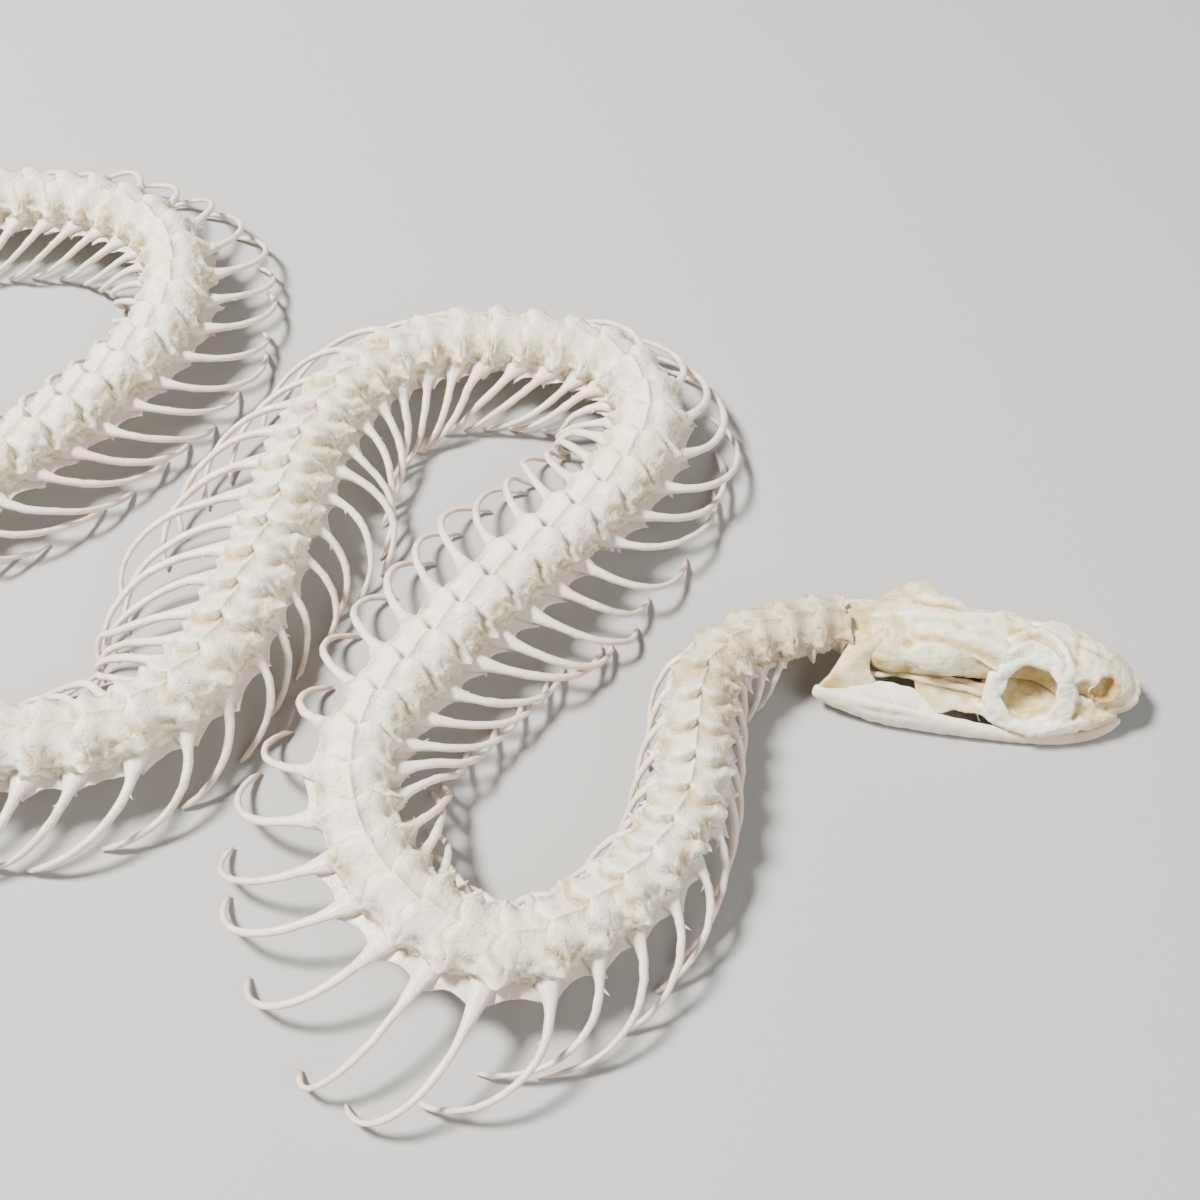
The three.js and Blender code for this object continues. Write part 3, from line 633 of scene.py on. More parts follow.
def webShells(i, side, ribReach, rng):
    # Dried skin-like webs between neighbouring rib roots: a thin sheet whose outer edge
    # is scalloped, reaching farthest along the ribs at its two ends.
    i, bow = i[:-1], webs["bow"] * ribReach[:-1, None, None]
    p = np.linspace(0, 1, webs["steps"])[None, :, None]
    angle = circle(webs["around"])
    q = (0.5 - 0.5 * np.cos(angle))[None, None]
    size = sizeOf(i)[:, None, None]
    length = webs["length"] * rng.uniform(*webs["lengthRange"], (len(i), 1, 1))
    inner = webs["inner"] * size
    outer = (webs["reach"] + bow) * size + length * np.abs(2 * p - 1) ** webs["scallop"]
    start = distanceOf(i + ribs["phase"])[:, None, None]
    end = distanceOf(i + 1 + ribs["phase"])[:, None, None]
    reach = inner + (outer - inner) * q
    height = (heightOf(i)[:, None, None] + ribs["rootHeight"] * size - webs["below"]
              - webs["slope"] * (reach - inner)
              + webs["thickness"] * np.sin(angle) * (1 - webs["edgeThinning"] * q))
    rings = placeAt(start + p * (end - start) + 0 * reach, side * reach, height)
    rings[..., 2] += webs["skin"] * roughness(rings, webs["skinSize"], seeds["webSkin"])
    return tubes(rings, np.full(rings.shape[:3], webs["stain"]))


def buildTrunk():
    perLength = body["trunkCount"] // body["trunkLengths"]
    for length in range(body["trunkLengths"]):
        first, last = length * perLength, (length + 1) * perLength
        number = f"{length + 1:02d}"
        nodes = {"right": f"trunk_{number}_right", "left": f"trunk_{number}_left"}
        shell = columnShell(first, last, vertebra["stepsPerVertebra"], vertebra["trunkSection"])
        column = meshObject(f"column_{number}", [shell])
        settle(column, finishes["trunk"], nodes.values())
        for sideName, side, lie in (("right", -1, rightRibLie), ("left", 1, leftRibLie)):
            cage = meshObject(f"ribs_{number}_{sideName}", ribShells(first, last, side, lie))
            settle(cage, finishes["rib"], [nodes[sideName]])
    print("trunk built")


def buildTail():
    perLength = body["tailCount"] // body["tailLengths"]
    for length in range(body["tailLengths"]):
        first = body["trunkCount"] + length * perLength
        shell = columnShell(first, first + perLength, vertebra["tailSteps"], vertebra["tailSection"])
        piece = meshObject(f"tail_column_{length + 1}", [shell])
        settle(piece, finishes["tail"], [f"tail_{length + 1}"])
    print("tail built")


# The skull

skull = {
    "place": (31.5, -2.9, 0.0), "turn": math.radians(-13), "voxel": 0.16, "ease": 0.5,
    # cavityReach, cavityDepth and cavityShade set the painted shade in sunken places of the skin
    "cavityReach": 60, "cavityDepth": 0.16, "cavityShade": 0.9,
    "stepsPerStation": 8, "around": 20, "barEnds": (0.55, 0.85), "sheetEnds": (0.4, 0.8), "sheetRound": 0.7,
    "fadeFrom": 0.6, "mandibleAround": 24,
}


def fromSkull(points):
    # skull's own forward, left, up to the plan
    c, s = math.cos(skull["turn"]), math.sin(skull["turn"])
    x, y = points[..., 0], points[..., 1]
    return np.stack([x * c - y * s, x * s + y * c, points[..., 2]], -1) + np.array(skull["place"])


def toSkull(points):
    moved = points - np.array(skull["place"])
    c, s = math.cos(skull["turn"]), math.sin(skull["turn"])
    x, y = moved[..., 0], moved[..., 1]
    return np.stack([x * c + y * s, -x * s + y * c, moved[..., 2]], -1)


def smallEnds(count, ends):
    # size of each section along a piece: full, but for the two at each end
    scale = np.ones(count)
    scale[:2], scale[-2:] = ends, ends[::-1]
    return scale[:, None]


def barShell(stations, side=1, around=skull["around"]):
    # Smooth bar through stations of forward, sideways, height, half width, half height.
    # Each section is an oval, upright across the bar's plan direction.
    rows = catmullRows(stations, skull["stepsPerStation"])
    middle = rows[:, :3] * [1, side, 1]
    along = unit(np.gradient(middle, axis=0))
    across = unit(np.cross([0, 0, 1.0], along))
    up = np.cross(along, across)
    wide, high = (rows[:, k:k + 1] * smallEnds(len(rows), skull["barEnds"]) for k in (3, 4))
    angle = circle(around)
    rings = (middle[:, None] + across[:, None] * (wide * np.cos(angle))[..., None]
             + up[:, None] * (high * np.sin(angle))[..., None])
    return tubes(fromSkull(rings)[None])


def sheetShell(edgeA, edgeB, thick, bulge=0.0, side=1):
    # Bone sheet between two edge curves, each given as forward, sideways, height. Round a flat
    # oval, q runs 0..1..0 across it: point = A + (B - A) q + normal (4 q (1 - q) bulge + thick sin).
    first = catmullRows(edgeA, skull["stepsPerStation"]) * [1, side, 1]
    last = catmullRows(edgeB, skull["stepsPerStation"]) * [1, side, 1]
    angle = circle(skull["around"])
    q = (0.5 - 0.5 * np.cos(angle))[None, :, None]
    run = unit(np.gradient((first + last) / 2, axis=0))
    normal = unit(np.cross(run, last - first))
    normal = (normal * np.where(normal[:, 2:] < 0, -1, 1))[:, None]
    rounded = np.sign(np.sin(angle)) * np.abs(np.sin(angle)) ** skull["sheetRound"]
    scale = smallEnds(len(first), skull["sheetEnds"])
    offset = 4 * q * (1 - q) * bulge + (thick * scale * rounded)[..., None]
    rings = first[:, None] + (last - first)[:, None] * q + normal * offset
    return tubes(fromSkull(rings)[None])


def ballShell(centre, radii, side=1, count=18, around=24, poleGap=0.06):
    # ellipsoid: rings of a sphere from pole to pole, stretched
    polar = np.linspace(poleGap, math.pi - poleGap, count)[:, None]
    turn = circle(around)[None]
    rings = np.stack([np.sin(polar) * np.cos(turn), np.sin(polar) * np.sin(turn),
                      np.cos(polar) + 0 * turn], -1) * radii + np.array(centre)
    return tubes(fromSkull(rings * [1, side, 1])[None])


def sunkenShare(places, normals, edges):
    # How far each point lies below its surroundings, 0 to 1: the places are blurred along the
    # edges many times over, and the gap up to the blurred skin is measured against a depth.
    count = len(places)
    ends = np.concatenate([edges, edges[:, ::-1]])
    share = 1 / np.maximum(np.bincount(ends[:, 0], minlength=count), 1)
    blurred = places
    for _ in range(skull["cavityReach"]):
        sums = [np.bincount(ends[:, 0], weights=blurred[ends[:, 1], k], minlength=count) for k in range(3)]
        blurred = (blurred + np.stack(sums, -1) * share[:, None]) / 2
    return np.clip(((blurred - places) * normals).sum(-1) / skull["cavityDepth"], 0, 1)


def fuse(name, shells, carve, cutters=(), smooth=5):
    # Overlapping shells are fused into one skin with soft fillets, cutters are taken out of it,
    # and the skin is evened. carve then moves its points, in the skull's own directions.
    made = meshObject(name, shells)

    def addRemesh():
        step = made.modifiers.new("skin", "REMESH")
        step.mode, step.use_smooth_shade = "VOXEL", True
        step.voxel_size = skull["voxel"] * plan["metresPerUnit"]

    addRemesh()
    tools = []
    for n, cutter in enumerate(cutters):
        tool = meshObject(f"{name}_cutter_{n}", [cutter])
        step = made.modifiers.new("cut", "BOOLEAN")
        step.operation, step.object, step.solver = "DIFFERENCE", tool, "MANIFOLD"
        tools.append(tool)
    if cutters:
        addRemesh()
    step = made.modifiers.new("ease", "SMOOTH")
    step.factor, step.iterations = skull["ease"], smooth
    graph = bpy.context.evaluated_depsgraph_get()
    skin = bpy.data.meshes.new_from_object(made.evaluated_get(graph))
    made.modifiers.clear()
    for tool in tools:
        bpy.data.objects.remove(tool)
    made.data = skin
    places = np.zeros(len(skin.vertices) * 3)
    skin.vertices.foreach_get("co", places)
    plain = places.reshape(-1, 3) / plan["metresPerUnit"] - np.array(plan["shift"])
    normals = np.zeros(len(skin.vertices) * 3)
    skin.vertices.foreach_get("normal", normals)
    normals = normals.reshape(-1, 3)
    move, amounts = carve(toSkull(plain))
    moved = plain + normals * move[:, None]
    skin.vertices.foreach_set("co", toFrame(moved).reshape(-1))
    edges = np.zeros(len(skin.edges) * 2, np.int32)
    skin.edges.foreach_get("vertices", edges)
    # painted shade: sunken places of the skin take extra tan
    setAmounts(skin, amounts + skull["cavityShade"] * sunkenShare(moved, normals, edges.reshape(-1, 2)))
    skin.polygons.foreach_set("use_smooth", [True] * len(skin.polygons))
    skin.update()
    return made


def towards(points, centre, radii):
    # 1 near a centre, fading to 0 at the radii
    away = np.linalg.norm((points - np.array(centre)) / np.array(radii), axis=-1)
    return 1 - ramp(skull["fadeFrom"], 1.0, away)


def nearLine(points, start, end, width):
    # 1 along a straight line between two places, seen from above, fading over its width
    start, end = np.array(start, float), np.array(end, float)
    run = end - start
    share = np.clip(((points[..., :2] - start) @ run) / (run @ run), 0, 1)
    gap = np.linalg.norm(points[..., :2] - (start + share[..., None] * run), axis=-1)
    return np.exp(-(gap / width) ** 2)


eye = {
    "centre": (21.3, 4.9, 6.0), "tilt": math.radians(41), "turn": math.radians(7), "radii": (4.35, 4.15),
    # half thickness round the ring from the front, by way of the top
    "bars": [1.25, 1.15, 0.8, 1.0, 1.1, 0.9, 0.8, 1.0, 1.25],
    # waves round the ring: height, how many, start
    "barWave": (0.1, 5, 1), "barRipple": (0.06, 9, 0), "swayWave": (1, 2, 0.7), "swayRipple": (0.5, 5, 0),
    "flatness": 0.6, "sway": 0.16, "browLift": 0.6, "browFrom": (0.1, 0.8), "steps": 72, "around": 16,
}


def eyeRingShell(side):
    # Closed hoop in the plane across the facing direction: middle = centre + forward cos(turn)
    # + upward sin(turn) + facing sway, with an oval section that is flat along facing.
    tilt, heading = eye["tilt"], eye["turn"]
    facing = unit(np.array([math.sin(heading), math.cos(heading) * math.cos(tilt), math.sin(tilt)]))
    forward = unit(np.array([1.0, 0, 0]) - facing * facing[0])
    upward = np.cross(facing, forward) * np.sign(np.cross(facing, forward)[2])
    turn = circle(eye["steps"])

    def wave(name):
        height, many, start = eye[name]
        return height * np.sin(many * turn + start)

    bar = np.interp(turn, np.linspace(0, 2 * math.pi, len(eye["bars"])), eye["bars"])
    bar = (np.roll(bar, 1) + bar + np.roll(bar, -1)) / 3
    bar *= 1 + wave("barWave") + wave("barRipple")
    sway = eye["sway"] * (wave("swayWave") + wave("swayRipple"))
    sway += eye["browLift"] * ramp(*eye["browFrom"], np.sin(turn))
    across, above = eye["radii"]
    out = forward * (np.cos(turn) * across)[:, None] + upward * (np.sin(turn) * above)[:, None]
    middle = np.array(eye["centre"]) + out + facing * sway[:, None]
    along = unit(np.roll(middle, -1, 0) - np.roll(middle, 1, 0))
    outward = np.cross(along, facing)
    angle = circle(eye["around"])
    rings = (middle[:, None] + outward[:, None] * (bar[:, None] * np.cos(angle))[..., None]
             + facing * (bar[:, None] * eye["flatness"] * np.sin(angle))[..., None]) * [1, side, 1]
    points = fromSkull(rings).reshape(-1, 3)
    quads = gridQuads(eye["steps"] + 1, eye["around"]) % len(points)
    none = np.zeros((0, 3), int)
    if signedVolume(points, quads, none) < 0:
        quads = quads[:, ::-1]
    return points, quads, none, np.zeros(len(points))


cranium = {
    # forward, half width, top, bottom, height of the widest line
    "sections": [
        (0.2, 1.9, 8.0, 4.2, 6.0), (2.0, 4.0, 9.2, 3.6, 6.4), (5.4, 4.9, 10.2, 3.2, 6.8),
        (10.0, 4.9, 10.5, 3.2, 6.9), (14.5, 4.1, 10.5, 3.2, 7.4), (17.6, 3.8, 10.5, 3.4, 8.4),
        (21.5, 3.0, 10.4, 3.4, 8.8), (25.4, 4.2, 9.9, 3.0, 6.8), (29.4, 4.3, 8.4, 2.8, 5.2),
        (32.4, 3.3, 6.6, 2.5, 4.0), (34.2, 1.5, 4.7, 2.4, 3.5),
    ],
    "stepsPerSection": 12, "around": 72, "roofPower": 0.78, "sidePower": 0.9,
    "nostril": (29.9, 3.1, 6.9), "nostrilRadii": (1.45, 1.5, 1.5),
    "nasalHollow": (27.4, 4.3, 6.0), "nasalRadii": (2.1, 2.4, 2.9), "nasalDepth": 0.75,
    "orbit": (21.4, 5.0, 5.8), "orbitRadii": (4.0, 3.2, 3.7),
    # a loose flake over the left eye: two edges and half thickness
    "flake": ([(20.9, 4.2, 8.0), (22.6, 5.4, 8.5), (24.8, 4.4, 7.6)],
              [(20.9, 2.6, 9.0), (22.6, 2.8, 9.2), (24.8, 3.0, 8.8)], 0.3),
    "smoothing": 9,
    # the knob that the neck meets, the front arch of the snout and the wing behind the eye
    "neckKnob": [(2.4, 0.0, 6.6, 3.7, 2.5), (0.2, 0.0, 6.7, 3.5, 2.4), (-1.8, 0.0, 6.8, 3.0, 2.2)],
    "snoutArch": [(30.6, 4.1, 3.7, 0.6, 0.8), (32.5, 3.0, 3.8, 0.75, 0.9), (33.7, 1.4, 4.0, 0.8, 0.9),
                  (34.0, 0.0, 4.1, 0.8, 0.9)],
    "browWing": [(13.5, 3.1, 9.4, 0.6, 0.5), (16.2, 3.8, 8.8, 0.8, 0.5), (17.6, 4.3, 8.1, 0.6, 0.4)],
    "earRegion": ((4.6, 3.5, 6.3), (2.9, 1.9, 2.1)),
    # ridges of the roof: line seen from above, width, height. The left half differs a little.
    "ridges": [
        ([(2.0, 0.2), (7.0, 0.5), (11.6, 1.2)], 0.5, 0.25),
        ([(8.0, -1.2), (15.6, -1.9), (17.8, -2.9)], 0.6, 0.3),
        ([(11.6, 1.2), (15.6, 2.4), (17.8, 3.3)], 0.6, 0.3),
        ([(18.2, -0.9), (19.8, 0.2), (21.5, 1.0), (23.6, -0.1), (25.3, -2.6)], 0.5, 0.55),
        ([(18.2, -2.6), (20.6, -0.9), (22.9, -1.5), (24.2, -3.0)], 0.45, 0.45),
        ([(26.9, -0.9), (30.6, -1.1)], 1.1, 0.4),
        ([(26.9, 1.3), (30.6, 1.3)], 0.9, 0.3),
        ([(25.0, -4.0), (25.6, -2.9)], 0.8, 0.35),
    ],
    "grooves": [
        ([(17.4, 3.6), (18.1, 0.6), (17.6, -3.2)], 0.55, 0.12),
        ([(26.4, 2.6), (26.0, 0.2), (26.2, -3.0)], 0.5, 0.2),
        ([(20.4, 0.1), (22.4, -0.3), (24.0, -1.7)], 0.5, 0.4),
        ([(26.5, 0.4), (31.8, 0.3)], 0.3, 0.12),
        ([(6.6, -2.6), (12.6, -3.0), (16.6, -3.8)], 0.7, 0.3),
        ([(4.4, -0.2), (6.0, -3.4)], 0.9, 0.35),
        ([(6.6, 2.8), (12.6, 3.0), (16.6, 3.8)], 0.7, 0.3),
    ],
    "domeCentre": (9.4, 4.1, 8.6), "domeRadii": (3.6, 2.2, 2.2), "domeHeight": 0.5,
    "roofFrom": (7.2, 8.6), "lumps": (0.09, 3.0), "ripples": (0.05, 1.5), "grain": (0.02, 0.7),
    # tan as painted shade: centre, radii and strength in the socket, at the nostril and round the ear,
    # then strengths of painted shade at the back, low on the sides and on grooves, of painted highlight
    # on ridges, of an even tone all over, and of painted highlight on domes
    "socketShade": ((21.5, 3.4, 5.2), (6.4, 4.4, 4.6), 1.0), "socketTop": (8.2, 9.2),
    "nostrilShade": ((29.9, 3.1, 6.9), (2.1, 2.2, 2.2), 1.2),
    "earShade": ((4.4, 4.2, 5.6), (3.8, 2.8, 2.8), 0.9),
    "backTan": 0.55, "backEnds": (2.5, 7.0), "lowShade": 0.7, "lowEnds": (4.4, 7.0), "lowReach": (2.0, 4.0),
    "grooveShade": 1.3, "ridgeHighlight": 1.4, "overallStain": 0.12, "domeHighlight": 0.4,
}


def craniumShell():
    # superellipse sections, with a flatter roof above the widest line
    rows = catmullRows(cranium["sections"], cranium["stepsPerSection"])
    angle = circle(cranium["around"])
    c, s = np.cos(angle), np.sin(angle)
    power = np.where(s > 0, cranium["roofPower"], cranium["sidePower"])
    outC = np.sign(c) * np.abs(c) ** power
    outS = np.sign(s) * np.abs(s) ** power
    forward, halfWidth, top, bottom, widest = (rows[:, k:k + 1] for k in range(5))
    height = widest + np.where(s > 0, (top - widest) * outS, (widest - bottom) * outS)
    rings = np.stack([forward + 0 * height, halfWidth * outC, height], -1)
    return tubes(fromSkull(rings)[None])


def heightAlong(own, lines):
    # height of each line, ridge or groove, where a point lies on it, the greatest where lines meet
    total = np.zeros(len(own))
    for places, width, height in lines:
        for start, end in zip(places, places[1:]):
            total = np.maximum(total, height * nearLine(own, start, end, width))
    return total


def craniumCarve(own):
    # ridges, domes and grooves of the roof, and the tan amounts: painted shade in the hollows, grooves,
    # socket, nostril, round the ear, at the back and low on the sides, painted highlight (less tan) on ridges
    # and domes, and an even tone all over
    x, y, z = own[:, 0], np.abs(own[:, 1]), own[:, 2]
    mirrored = np.stack([x, y, z], -1)

    def shadeAt(name):
        # strength of a named patch of painted shade, which fades away from its centre
        centre, radii, strength = cranium[name]
        return strength * towards(mirrored, centre, radii)

    roof = ramp(*cranium["roofFrom"], z)
    ridge, groove = heightAlong(own, cranium["ridges"]), heightAlong(own, cranium["grooves"])
    dome = towards(mirrored, cranium["domeCentre"], cranium["domeRadii"])
    nasal = towards(mirrored, cranium["nasalHollow"], cranium["nasalRadii"])
    move = roof * (ridge - groove) + cranium["domeHeight"] * dome - cranium["nasalDepth"] * nasal
    move += lumps(own, cranium["lumps"], seeds["craniumLumps"])
    move += lumps(own, cranium["ripples"], seeds["craniumRipples"])
    move += lumps(own, cranium["grain"], seeds["craniumGrain"])
    # painted shade: tan at the back, low on the sides, in the socket, the nasal hollow, the nostril and round
    # the ear
    back = cranium["backTan"] * (1 - ramp(*cranium["backEnds"], x))
    low = cranium["lowShade"] * (1 - ramp(*cranium["lowEnds"], z)) * ramp(*cranium["lowReach"], y)
    socket = shadeAt("socketShade") * (1 - ramp(*cranium["socketTop"], z))
    tan = np.maximum.reduce([socket, nasal, shadeAt("nostrilShade"), back, shadeAt("earShade"), low])
    # painted shade in grooves, painted highlight (less tan) on ridges and domes, and an even tone all over
    tan += (cranium["grooveShade"] * roof * groove - cranium["ridgeHighlight"] * roof * ridge
            + cranium["overallStain"] - cranium["domeHighlight"] * dome)
    return move, np.clip(tan, 0, 1)


def buildCranium():
    shells = [craniumShell(), barShell(cranium["neckKnob"])]
    for side in (-1, 1):
        shells.append(barShell(cranium["snoutArch"], side))
        shells.append(ballShell(*cranium["earRegion"], side))
        shells.append(barShell(cranium["browWing"], side))
    shells.append(sheetShell(*cranium["flake"]))
    cutters = []
    for side in (-1, 1):
        cutters.append(ballShell(cranium["orbit"], cranium["orbitRadii"], side))
        cutters.append(ballShell(cranium["nostril"], cranium["nostrilRadii"], side))
    made = fuse("cranium_bone", shells, craniumCarve, cutters, cranium["smoothing"])
    settle(made, finishes["skull"], ["cranium"])
    print("cranium built,", len(made.data.polygons), "faces")


jaws = {
    # bars: forward, sideways, height, half width, half height
    "mandible": [
        (-3.9, 8.0, 3.0, 0.7, 0.9), (-1.4, 8.4, 2.6, 0.85, 1.4), (1.6, 8.75, 2.35, 0.9, 1.8),
        (5.0, 9.0, 2.1, 0.9, 2.0), (12.8, 8.7, 1.6, 0.85, 1.5), (21.6, 7.9, 0.95, 0.7, 0.9),
        (26.6, 6.9, 0.9, 0.7, 0.85), (30.6, 5.0, 0.9, 0.65, 0.8), (33.1, 2.7, 1.0, 0.5, 0.6),
    ],
    "maxilla": [
        (15.4, 6.5, 3.9, 0.4, 0.5), (17.4, 7.1, 3.3, 0.75, 0.8), (20.0, 7.7, 2.8, 0.85, 0.9),
        (22.9, 7.75, 2.7, 0.85, 0.95), (26.6, 6.5, 3.0, 0.85, 1.25), (30.2, 4.8, 3.0, 0.7, 1.15),
        (32.2, 3.7, 2.9, 0.5, 0.8),
    ],
    "frontPlate": [(23.6, 2.6, 9.3, 1.0, 0.5), (25.0, 4.0, 8.0, 1.2, 0.5), (25.7, 5.4, 5.8, 1.1, 0.5),
                   (25.4, 6.6, 3.6, 1.0, 0.5)],
    "rearStrut": [(18.0, 3.2, 9.1, 0.8, 0.5), (16.8, 4.2, 7.3, 0.8, 0.5), (17.0, 5.8, 5.0, 0.7, 0.5),
                  (18.0, 7.1, 3.3, 0.9, 0.5)],
    "innerFlange": [(22.6, 6.5, 3.2, 0.4, 0.35), (24.4, 5.7, 3.8, 0.45, 0.4), (26.2, 5.0, 4.6, 0.5, 0.4)],
    "tooth": [(15.8, 6.9, 2.9, 0.26, 0.26), (16.2, 7.0, 1.9, 0.2, 0.2), (16.6, 7.05, 1.2, 0.1, 0.1)],
    "pterygoid": [
        (0.6, 5.4, 4.2, 0.4, 0.35), (3.5, 5.0, 4.3, 0.45, 0.35), (6.0, 4.6, 4.6, 0.45, 0.35),
        (9.2, 4.9, 4.8, 0.5, 0.35), (13.9, 5.1, 4.7, 0.45, 0.35), (16.4, 5.4, 4.6, 0.35, 0.3),
    ],
    "stapes": [(6.4, 4.4, 5.3, 0.22, 0.22), (4.2, 4.5, 5.6, 0.2, 0.2), (2.2, 4.6, 5.9, 0.22, 0.22)],
    "flapStrut": [(4.6, 5.2, 6.6, 0.8, 0.45), (2.8, 5.1, 4.6, 0.6, 0.4), (1.2, 4.9, 3.2, 0.55, 0.4)],
    # sheets: one edge, the other edge, half thickness, bulge.
    # The crest of the mandible leans in over its rear half.
    "crest": ([(-2.2, 7.9, 3.9), (1.2, 7.0, 4.5), (3.9, 6.2, 4.6), (6.0, 6.0, 4.5), (8.5, 6.2, 4.0),
               (10.8, 7.3, 2.8)],
              [(-1.6, 8.6, 2.4), (1.6, 8.9, 2.4), (3.9, 9.1, 2.4), (6.0, 9.1, 2.4), (8.5, 8.9, 2.2),
               (11.8, 8.8, 1.9)], 0.4, 0.25),
    "palate": ([(15.8, 2.4, 4.1), (18.5, 1.4, 4.0), (21.5, 1.0, 4.0), (26.8, 1.6, 3.7), (30.6, 1.6, 3.2)],
               [(15.8, 6.3, 3.6), (18.5, 7.0, 2.9), (21.5, 7.5, 2.5), (26.8, 6.4, 2.7), (30.6, 4.4, 2.7)],
               0.3, 0.0),
    # broad bone behind the eye
    "cheek": ([(17.4, 4.0, 8.4), (16.2, 4.9, 6.6), (15.9, 6.0, 4.8), (16.4, 6.8, 3.8)],
              [(18.9, 3.6, 8.9), (18.4, 5.2, 6.8), (18.0, 6.6, 4.8), (18.6, 7.4, 3.4)], 0.3, 0.0),
    # wall between the front of the maxilla and the side of the snout
    "wall": ([(24.6, 4.2, 6.6), (26.4, 3.8, 5.9), (28.8, 3.6, 5.2), (31.4, 2.8, 4.5)],
             [(24.6, 6.8, 4.0), (26.4, 6.3, 3.9), (28.8, 5.4, 3.8), (31.4, 4.1, 3.4)], 0.35, -0.2),
    "wing": ([(7.6, 3.9, 4.7), (10.2, 3.6, 4.7), (13.9, 3.5, 4.7), (17.4, 3.6, 4.7)],
             [(8.4, 7.0, 3.6), (10.8, 8.2, 2.7), (13.4, 7.3, 2.8), (17.2, 7.4, 3.1)], 0.3, 0.0),
    "quadrate": ([(-0.2, 2.0, 8.5), (-1.0, 4.1, 6.9), (-2.1, 6.5, 5.3), (-3.2, 7.8, 4.1), (-3.6, 8.2, 3.1)],
                 [(5.6, 3.0, 8.9), (2.9, 3.9, 7.5), (2.3, 5.1, 6.1), (3.2, 6.2, 4.9), (5.0, 7.0, 3.7)],
                 0.38, 0.2),
    "flap": ([(2.4, 4.4, 7.0), (3.8, 6.1, 7.4), (7.5, 8.3, 7.6), (9.8, 5.2, 8.2)],
             [(3.6, 3.0, 7.4), (5.0, 3.0, 8.0), (7.3, 3.7, 8.4), (9.9, 4.0, 8.6)], 0.32, 0.0),
    "leftTurn": math.radians(4.6),
}


def turnedAboutTip(shell):
    # the left mandible lies folded in, turned about its tip as seen from above
    points, quads, triangles, amounts = shell
    tip = np.array(jaws["mandible"][-1][:2] + (0,))
    own = toSkull(points) - tip
    c, s = math.cos(jaws["leftTurn"]), math.sin(jaws["leftTurn"])
    turned = np.stack([own[:, 0] * c - own[:, 1] * s, own[:, 0] * s + own[:, 1] * c, own[:, 2]], -1)
    return fromSkull(turned + tip), quads, triangles, amounts


mandibleMarks = {
    "lumps": (0.04, 1.8), "dentAt": (3.1, 0.5), "dentEnds": ((1.0, 3.0), (8.0, 10.0)), "dentDepth": 0.2,
    "dentShade": 0.25, "frontStain": 0.8, "frontEnds": ((15.0, 21.0), (31.0, 34.0)),
    "rearStain": 0.35, "rearEnds": (-1.0, 5.0),
}


def mandibleCarve(own):
    # a long dent on the crest with painted shade in it, and the front half and the rear end stained
    x, z = own[:, 0], own[:, 2]
    dent = bell(z, *mandibleMarks["dentAt"]) * between(*mandibleMarks["dentEnds"], x)
    # painted shade in the dent
    move = lumps(own, mandibleMarks["lumps"], seeds["mandible"]) - mandibleMarks["dentDepth"] * dent
    front = mandibleMarks["frontStain"] * between(*mandibleMarks["frontEnds"], x)
    rear = mandibleMarks["rearStain"] * (1 - ramp(*mandibleMarks["rearEnds"], x))
    return move, front + mandibleMarks["dentShade"] * dent + rear


upperJawMarks = {
    "lumps": (0.07, 1.6), "grain": (0.035, 0.7), "underReach": (5.4, 6.8), "underTop": (4.2, 5.4),
    "underShade": 0.75, "streakStain": 0.35, "streakEdges": (-0.6, 0.8), "streakStretch": (0.4, 1, 1),
    "streakSize": 1.0, "hollowShade": 0.2, "hollowEnds": ((27.0, 29.0), (31.5, 33.0)),
}


def upperJawCarve(own):
    # painted shade: the sheet below the eye ring is tan in streaks, the hollow before it tan too, the rest
    # pale
    x, y, z = own[:, 0], np.abs(own[:, 1]), own[:, 2]
    move = lumps(own, upperJawMarks["lumps"], seeds["upperJaw"])
    move += lumps(own, upperJawMarks["grain"], seeds["upperJawGrain"])
    # painted shade below the eye ring, low and inward, broken into streaks
    under = (1 - ramp(*upperJawMarks["underReach"], y)) * (1 - ramp(*upperJawMarks["underTop"], z))
    stretched = own * upperJawMarks["streakStretch"]
    streaks = roughness(stretched, upperJawMarks["streakSize"], seeds["upperJawStreaks"])
    streaks = ramp(*upperJawMarks["streakEdges"], streaks)
    under = under * (upperJawMarks["underShade"] + upperJawMarks["streakStain"] * streaks)
    # painted shade in the hollow before the eye
    return move, under + upperJawMarks["hollowShade"] * between(*upperJawMarks["hollowEnds"], x)


plateMarks = {
    "lumps": (0.06, 1.7), "overallStain": 0.35, "backTan": 0.25, "backEnds": (2.0, 7.0),
    "patchStain": 0.35, "patchSize": 2.0, "patchEdges": (-0.2, 0.9),
    "slitShade": 0.6, "slitFrom": (7.0, 9.0), "slitReach": (5.2, 5.9), "slitTop": (4.4, 4.8),
}


def plateCarve(own):
    # cream plates with soft patches, darker at the back, and painted shade along the slit beside the cranium
    x, y, z = own[:, 0], np.abs(own[:, 1]), own[:, 2]
    move = lumps(own, plateMarks["lumps"], seeds["plate"])
    # painted shade along the slit beside the cranium
    slit = ramp(*plateMarks["slitFrom"], x) * (1 - ramp(*plateMarks["slitReach"], y))
    slit = slit * (1 - ramp(*plateMarks["slitTop"], z))
    patches = ramp(*plateMarks["patchEdges"], roughness(own, plateMarks["patchSize"], seeds["plateStain"]))
    stain = (plateMarks["overallStain"] + plateMarks["backTan"] * (1 - ramp(*plateMarks["backEnds"], x))
             + plateMarks["patchStain"] * patches + plateMarks["slitShade"] * slit)
    return move, stain


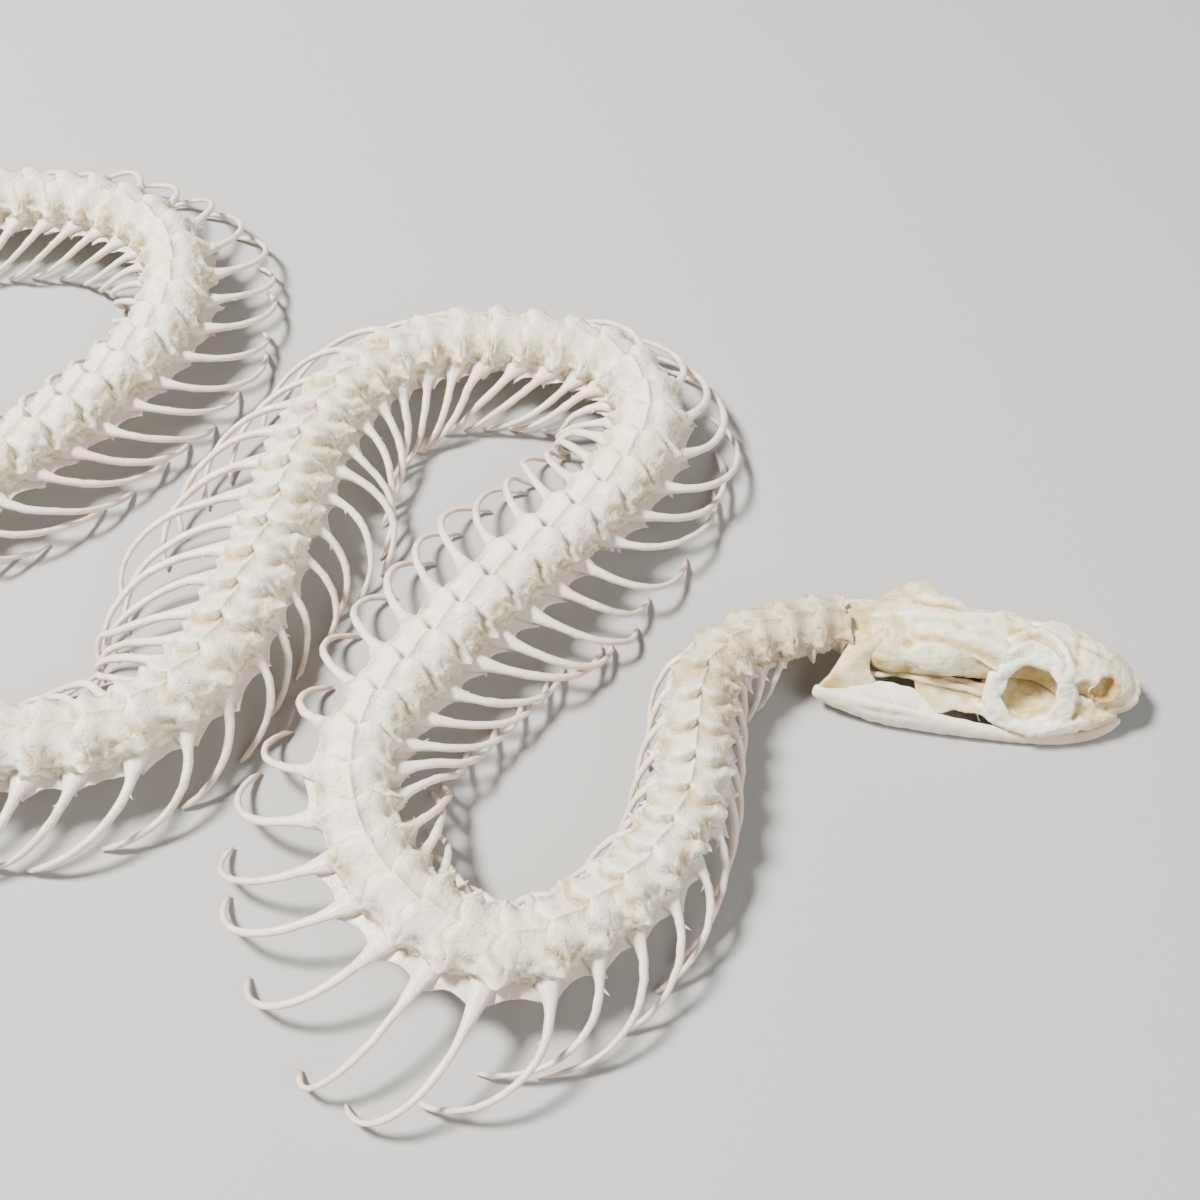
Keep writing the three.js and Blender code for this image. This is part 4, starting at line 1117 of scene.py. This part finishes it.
def buildJaws():
    for sideName, side in (("right", -1), ("left", 1)):
        bars = ("maxilla", "frontPlate", "rearStrut", "innerFlange", "tooth")
        shells = [barShell(jaws[bar], side) for bar in bars]
        shells += [sheetShell(*jaws["wall"], side), sheetShell(*jaws["cheek"], side)]
        shells += [eyeRingShell(side), sheetShell(*jaws["palate"], side)]
        upper = fuse(f"upper_jaw_bone_{sideName}", shells, upperJawCarve)
        settle(upper, finishes["eye"], [f"upper_jaw_{sideName}"])

        shells = [barShell(jaws["mandible"], side, around=skull["mandibleAround"]),
                  sheetShell(*jaws["crest"], side)]
        if side > 0:
            shells = [turnedAboutTip(shell) for shell in shells]
        lower = fuse(f"lower_jaw_bone_{sideName}", shells, mandibleCarve)
        settle(lower, finishes["jaw"], [f"mandible_{sideName}"])

        shells = [barShell(jaws["pterygoid"], side), sheetShell(*jaws["wing"], side)]
        wing = fuse(f"pterygoid_bone_{sideName}", shells, plateCarve)
        settle(wing, finishes["skull"], [f"pterygoid_{sideName}"])

    rightShells = [sheetShell(*jaws["quadrate"], -1), barShell(jaws["stapes"], -1)]
    leftShells = [sheetShell(*jaws["flap"]), barShell(jaws["flapStrut"])]
    for sideName, shells in (("right", rightShells), ("left", leftShells)):
        plate = fuse(f"quadrate_bone_{sideName}", shells, plateCarve)
        settle(plate, finishes["skull"], [f"quadrate_{sideName}"])
    print("jaws built")


# Floor, lights and camera

studio = {
    "floorSize": 3.0, "floorColour": (0.40, 0.395, 0.385, 1), "floorRoughness": 0.9,
    "target": (59.76, -4.25, 8.0), "cameraDistance": 180.0, "elevation": math.radians(51.5),
    "lens": 43.8, "sensor": 36.0, "clipStart": 0.01,
    "world": (0.86, 0.86, 0.85, 1), "worldStrength": 0.24,
    # name, place from the target in metres, size, power, colour
    "lights": [
        ("keyLight", (-0.42, 0.06, 0.66), 0.2, 21.5, (1.0, 0.98, 0.94)),
        ("fillLight", (0.55, -0.45, 0.55), 0.6, 5.0, (0.97, 0.98, 1.0)),
    ],
}
studioTarget = Vector(studio["target"]) * plan["metresPerUnit"]


def buildFloor():
    half = studio["floorSize"] / 2
    mesh = bpy.data.meshes.new("studioFloor")
    corners = [(-half, -half, 0), (half, -half, 0), (half, half, 0), (-half, half, 0)]
    mesh.from_pydata(corners, [], [(0, 1, 2, 3)])
    paint = bpy.data.materials.new("paleFloor")
    paint.use_nodes = True
    shader = paint.node_tree.nodes["Principled BSDF"]
    shader.inputs["Base Color"].default_value = studio["floorColour"]
    shader.inputs["Roughness"].default_value = studio["floorRoughness"]
    mesh.materials.append(paint)
    placeInScene("studioFloor", mesh)
    print("floor laid")


def buildLights():
    # round lights that face the target, and an even glow from all round
    for name, offset, size, power, colour in studio["lights"]:
        light = bpy.data.lights.new(name, "AREA")
        light.shape, light.size, light.energy, light.color = "DISK", size, power, colour
        lamp = placeInScene(name, light)
        lamp.location = studioTarget + Vector(offset)
        lamp.rotation_euler = (-Vector(offset)).to_track_quat("-Z", "Y").to_euler()
    world = bpy.data.worlds.new("softRoom")
    world.use_nodes = True
    background = world.node_tree.nodes["Background"]
    background.inputs["Color"].default_value = studio["world"]
    background.inputs["Strength"].default_value = studio["worldStrength"]
    bpy.context.scene.world = world
    print("lights hung")


def buildCamera():
    # the camera looks at the target from so far away, at an elevation above the floor
    lens = bpy.data.cameras.new("mainCamera")
    lens.lens, lens.sensor_width, lens.sensor_fit = studio["lens"], studio["sensor"], "HORIZONTAL"
    lens.clip_start = studio["clipStart"]
    rise = studio["elevation"]
    away = Vector((0, -math.cos(rise), math.sin(rise))) * studio["cameraDistance"] * plan["metresPerUnit"]
    camera = placeInScene("mainCamera", lens)
    camera.location = studioTarget + away
    camera.rotation_euler = (math.pi / 2 - rise, 0, 0)
    bpy.context.scene.camera = camera
    print("camera set")


buildTrunk()
buildTail()
buildCranium()
buildJaws()
buildFloor()
buildLights()
buildCamera()
